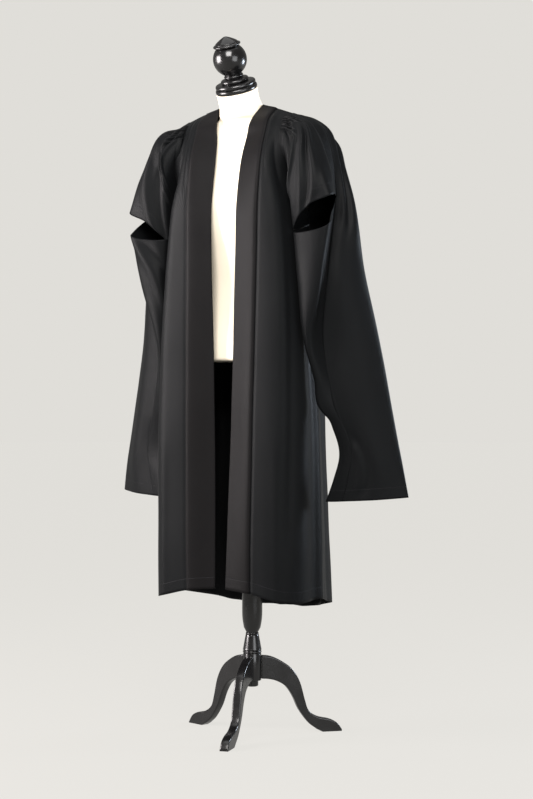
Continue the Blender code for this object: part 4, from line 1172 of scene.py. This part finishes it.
column += VASE_BEAD + turned_curve(FOOT, FOOT_STEPS)
column += FOOT_BEAD + [(COLUMN_END, HUB_RADIUS), (COLUMN_END, 0.0)]
turned("column_turned", column, "column")
hub = [(row["height"], row["radius"]) for row in HUB]
turned("hub_turned", [(hub[0][0], 0.0)] + hub + [(hub[-1][0], 0.0)], "hub")

# %% [markdown]
# A leg is sawn from a board in one swept shape, and its edges are rounded over before painting. So its
# outline is filled flat, extruded to the board's thickness, and bevelled all round, but the sole is left
# square where it stands on the floor.

# %% Legs
# A leg's side outline: the upper edge from the hub out to the toe, and the lower edge back to the hub
LEG_TOP = rows_of(
    "out up",
    (0.0225, 0.1930), (0.0450, 0.1900), (0.0700, 0.1790), (0.0979, 0.1586), (0.1183, 0.1258),
    (0.1310, 0.0810), (0.1412, 0.0534), (0.1642, 0.0376), (0.1950, 0.0300),
    (0.2140, 0.0200), (0.2257, 0.0040),
)
LEG_SOLE = rows_of("out up", (0.2245, 0.0), (0.1760, 0.0))
LEG_UNDER = rows_of(
    "out up",
    (0.1600, 0.0080), (0.1400, 0.0240), (0.1157, 0.0568), (0.1005, 0.0897), (0.0827, 0.1153),
    (0.0600, 0.1290), (0.0400, 0.1345), (0.0225, 0.1360),
)

LEG_COUNT = 3
LEG_THICK = 0.021
FRONT_LEG_TURN = math.radians(13.3)
LEG_POINTS = 4
LEG_ROUND = 0.0042
LEG_ROUND_STEPS = 4
SQUARE_BELOW = 0.001
SQUARE_WITHIN = 0.024
SAME_FACE = 1e-6


def leg_line(table):
    """A leg's edge as a smooth curve through its table."""
    places = [(row["out"], row["up"]) for row in table]
    steps = np.linspace(0, len(table) - 1, LEG_POINTS * (len(table) - 1) + 1)
    return [tuple(point) for point in curve_through(range(len(table)), places, steps)]


def is_rounded(edge):
    """Whether an edge of the board is one that is rounded over: not across it, at the sole or the hub."""
    one, other = (vertex.co for vertex in edge.verts)
    along = abs(one.y - other.y) < SAME_FACE
    return along and min(one.z, other.z) > SQUARE_BELOW and max(one.x, other.x) > SQUARE_WITHIN


outline = leg_line(LEG_TOP) + [(row["out"], row["up"]) for row in LEG_SOLE] + leg_line(LEG_UNDER)
for index in range(LEG_COUNT):
    board = bmesh.new()
    corners = [board.verts.new((out + SEAT_GAP, -LEG_THICK / 2, up)) for out, up in outline]
    face = board.faces.new(corners)
    grown = bmesh.ops.extrude_face_region(board, geom=[face])["geom"]
    far_side = [item for item in grown if isinstance(item, bmesh.types.BMVert)]
    bmesh.ops.translate(board, verts=far_side, vec=(0.0, LEG_THICK, 0.0))
    bmesh.ops.recalc_face_normals(board, faces=board.faces)
    rounded = [edge for edge in board.edges if is_rounded(edge)]
    bmesh.ops.bevel(board, geom=rounded, offset=LEG_ROUND, segments=LEG_ROUND_STEPS, profile=0.5,
                    affect="EDGES", material=-1, clamp_overlap=True)
    turn = FRONT_LEG_TURN - math.pi / 2 + index * 2 * math.pi / LEG_COUNT
    place = Matrix.Translation(STAND_PLACE) @ Matrix.Rotation(turn, 4, "Z")
    bmesh.ops.transform(board, matrix=place, verts=board.verts)
    for face in board.faces:
        face.smooth = len(face.verts) == 4
    name = f"leg_{index + 1}"
    leg = new_object(f"{name}_sawn", board, PAINT)
    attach(leg, "root")
    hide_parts(name)
    print(name, "has", len(leg.data.polygons), "faces")

# %% [markdown]
# In the studio a pale floor runs into a pale backdrop with no edge between them. A plain lit floor would
# meet the air at a visible horizon, so the floor and the air have one tone for the camera and glow a little
# by themselves. The light that they send to the black cloth is set apart from that, and is weaker.

# %% Floor and world
STUDIO_TONE = "E0DED9"
FLOOR_TONE = "2C2B2A"
FLOOR_RADIUS = 30.0
AIR_LIGHT = 0.30
AIR_SEEN = 1.0
FLOOR_GLOW = 0.985
FLOOR_BOUNCE = 0.70
FLOOR_PAINT, TREE, SHADER = new_finish("pale_studio_floor", {
    "Roughness": 0.9, "Specular IOR Level": 0.1,
})
SHADER.inputs["Base Color"].default_value = linear(FLOOR_TONE)
SHADER.inputs["Emission Color"].default_value = linear(STUDIO_TONE)
seen = add_node(TREE, "ShaderNodeLightPath")
glow = add_node(TREE, "ShaderNodeMix", inputs={
    "Factor": seen.outputs["Is Camera Ray"], "A": FLOOR_BOUNCE, "B": FLOOR_GLOW,
})
TREE.links.new(glow.outputs["Result"], SHADER.inputs["Emission Strength"])
disc = bmesh.new()
bmesh.ops.create_circle(disc, cap_ends=True, segments=96, radius=FLOOR_RADIUS)
floor = new_object("studio_floor", disc, FLOOR_PAINT)
world = bpy.data.worlds.new("studio_air")
world.use_nodes = True
air_tree = world.node_tree
air_tree.nodes.clear()
ray = add_node(air_tree, "ShaderNodeLightPath")
lit_air = add_node(air_tree, "ShaderNodeBackground", inputs={
    "Color": linear(STUDIO_TONE), "Strength": AIR_LIGHT,
})
seen_air = add_node(air_tree, "ShaderNodeBackground", inputs={
    "Color": linear(STUDIO_TONE), "Strength": AIR_SEEN,
})
mixed_air = add_node(air_tree, "ShaderNodeMixShader", inputs={
    0: ray.outputs["Is Camera Ray"], 1: lit_air.outputs[0], 2: seen_air.outputs[0],
})
add_node(air_tree, "ShaderNodeOutputWorld", inputs={"Surface": mixed_air.outputs[0]})
bpy.context.scene.world = world
print("floor and air glow in sRGB", STUDIO_TONE)

# %% [markdown]
# A large soft window far at the left lights the facing bands and the folds, and a weaker one at the front
# right fills their shadows. A high window in front shows the form, a strip at the right draws a rim on
# the black cloth, and a dim panel hangs above. They are placed as seen from the camera, to its right and
# towards it, so that they can be moved like lamps.

# %% Lights
CAMERA_TURN = math.radians(30)
RIGHT = Vector((math.cos(CAMERA_TURN), math.sin(CAMERA_TURN), 0.0))
TOWARDS = Vector((math.sin(CAMERA_TURN), -math.cos(CAMERA_TURN), 0.0))
LIGHTS = rows_of(
    "name right towards up size watts colour",
    ("key_window", -2.9, 0.5, 1.5, 1.5, 218.0, "FFF8F8"),
    ("fill_window", 2.0, 3.0, 1.3, 2.0, 60.0, "FAFCFF"),
    ("front_window", -0.4, 2.7, 2.9, 1.6, 140.0, "FFFCFA"),
    ("rim_strip", 2.7, -0.9, 1.3, 0.7, 60.0, "E4F0FF"),
    ("top_panel", -0.2, 0.3, 3.4, 2.2, 20.0, "FFFFFF"),
)
LIGHT_AIM = Vector((0.0, 0.0, 1.0))
for row in LIGHTS:
    lamp = bpy.data.lights.new(row["name"], "AREA")
    lamp.shape = "SQUARE"
    lamp.size = row["size"]
    lamp.energy = row["watts"]
    lamp.color = linear(row["colour"])[:3]
    stand = bpy.data.objects.new(row["name"], lamp)
    stand.location = RIGHT * row["right"] + TOWARDS * row["towards"] + Vector((0.0, 0.0, row["up"]))
    stand.rotation_euler = (LIGHT_AIM - stand.location).to_track_quat("-Z", "Y").to_euler()
    bpy.context.scene.collection.objects.link(stand)
print("lights:", ", ".join(row["name"] for row in LIGHTS))

# %% [markdown]
# The camera looks level from a little below the gown's middle, with a long lens, as for a product picture.
# Its distance and its place were worked out from the sizes of the neck's disc and of the column's foot.
# Colours are shown plainly, because a film's curve would lift the black cloth to grey.

# %% Camera
CAMERA_DISTANCE = 4.35
CAMERA_HEIGHT = 0.82
CAMERA_SIDE = 0.035
LENS_LENGTH = 79.97
camera_data = bpy.data.cameras.new("studio_camera")
camera_data.sensor_width = 36.0
camera_data.lens = LENS_LENGTH
camera = bpy.data.objects.new("studio_camera", camera_data)
camera.location = STAND_PLACE + TOWARDS * CAMERA_DISTANCE + RIGHT * CAMERA_SIDE
camera.location.z = CAMERA_HEIGHT
camera.rotation_euler = (math.pi / 2, 0.0, CAMERA_TURN)
bpy.context.scene.collection.objects.link(camera)
bpy.context.scene.camera = camera
bpy.context.scene.view_settings.view_transform = "Standard"
print("camera at", tuple(round(v, 3) for v in camera.location), "turned", round(math.degrees(CAMERA_TURN)))
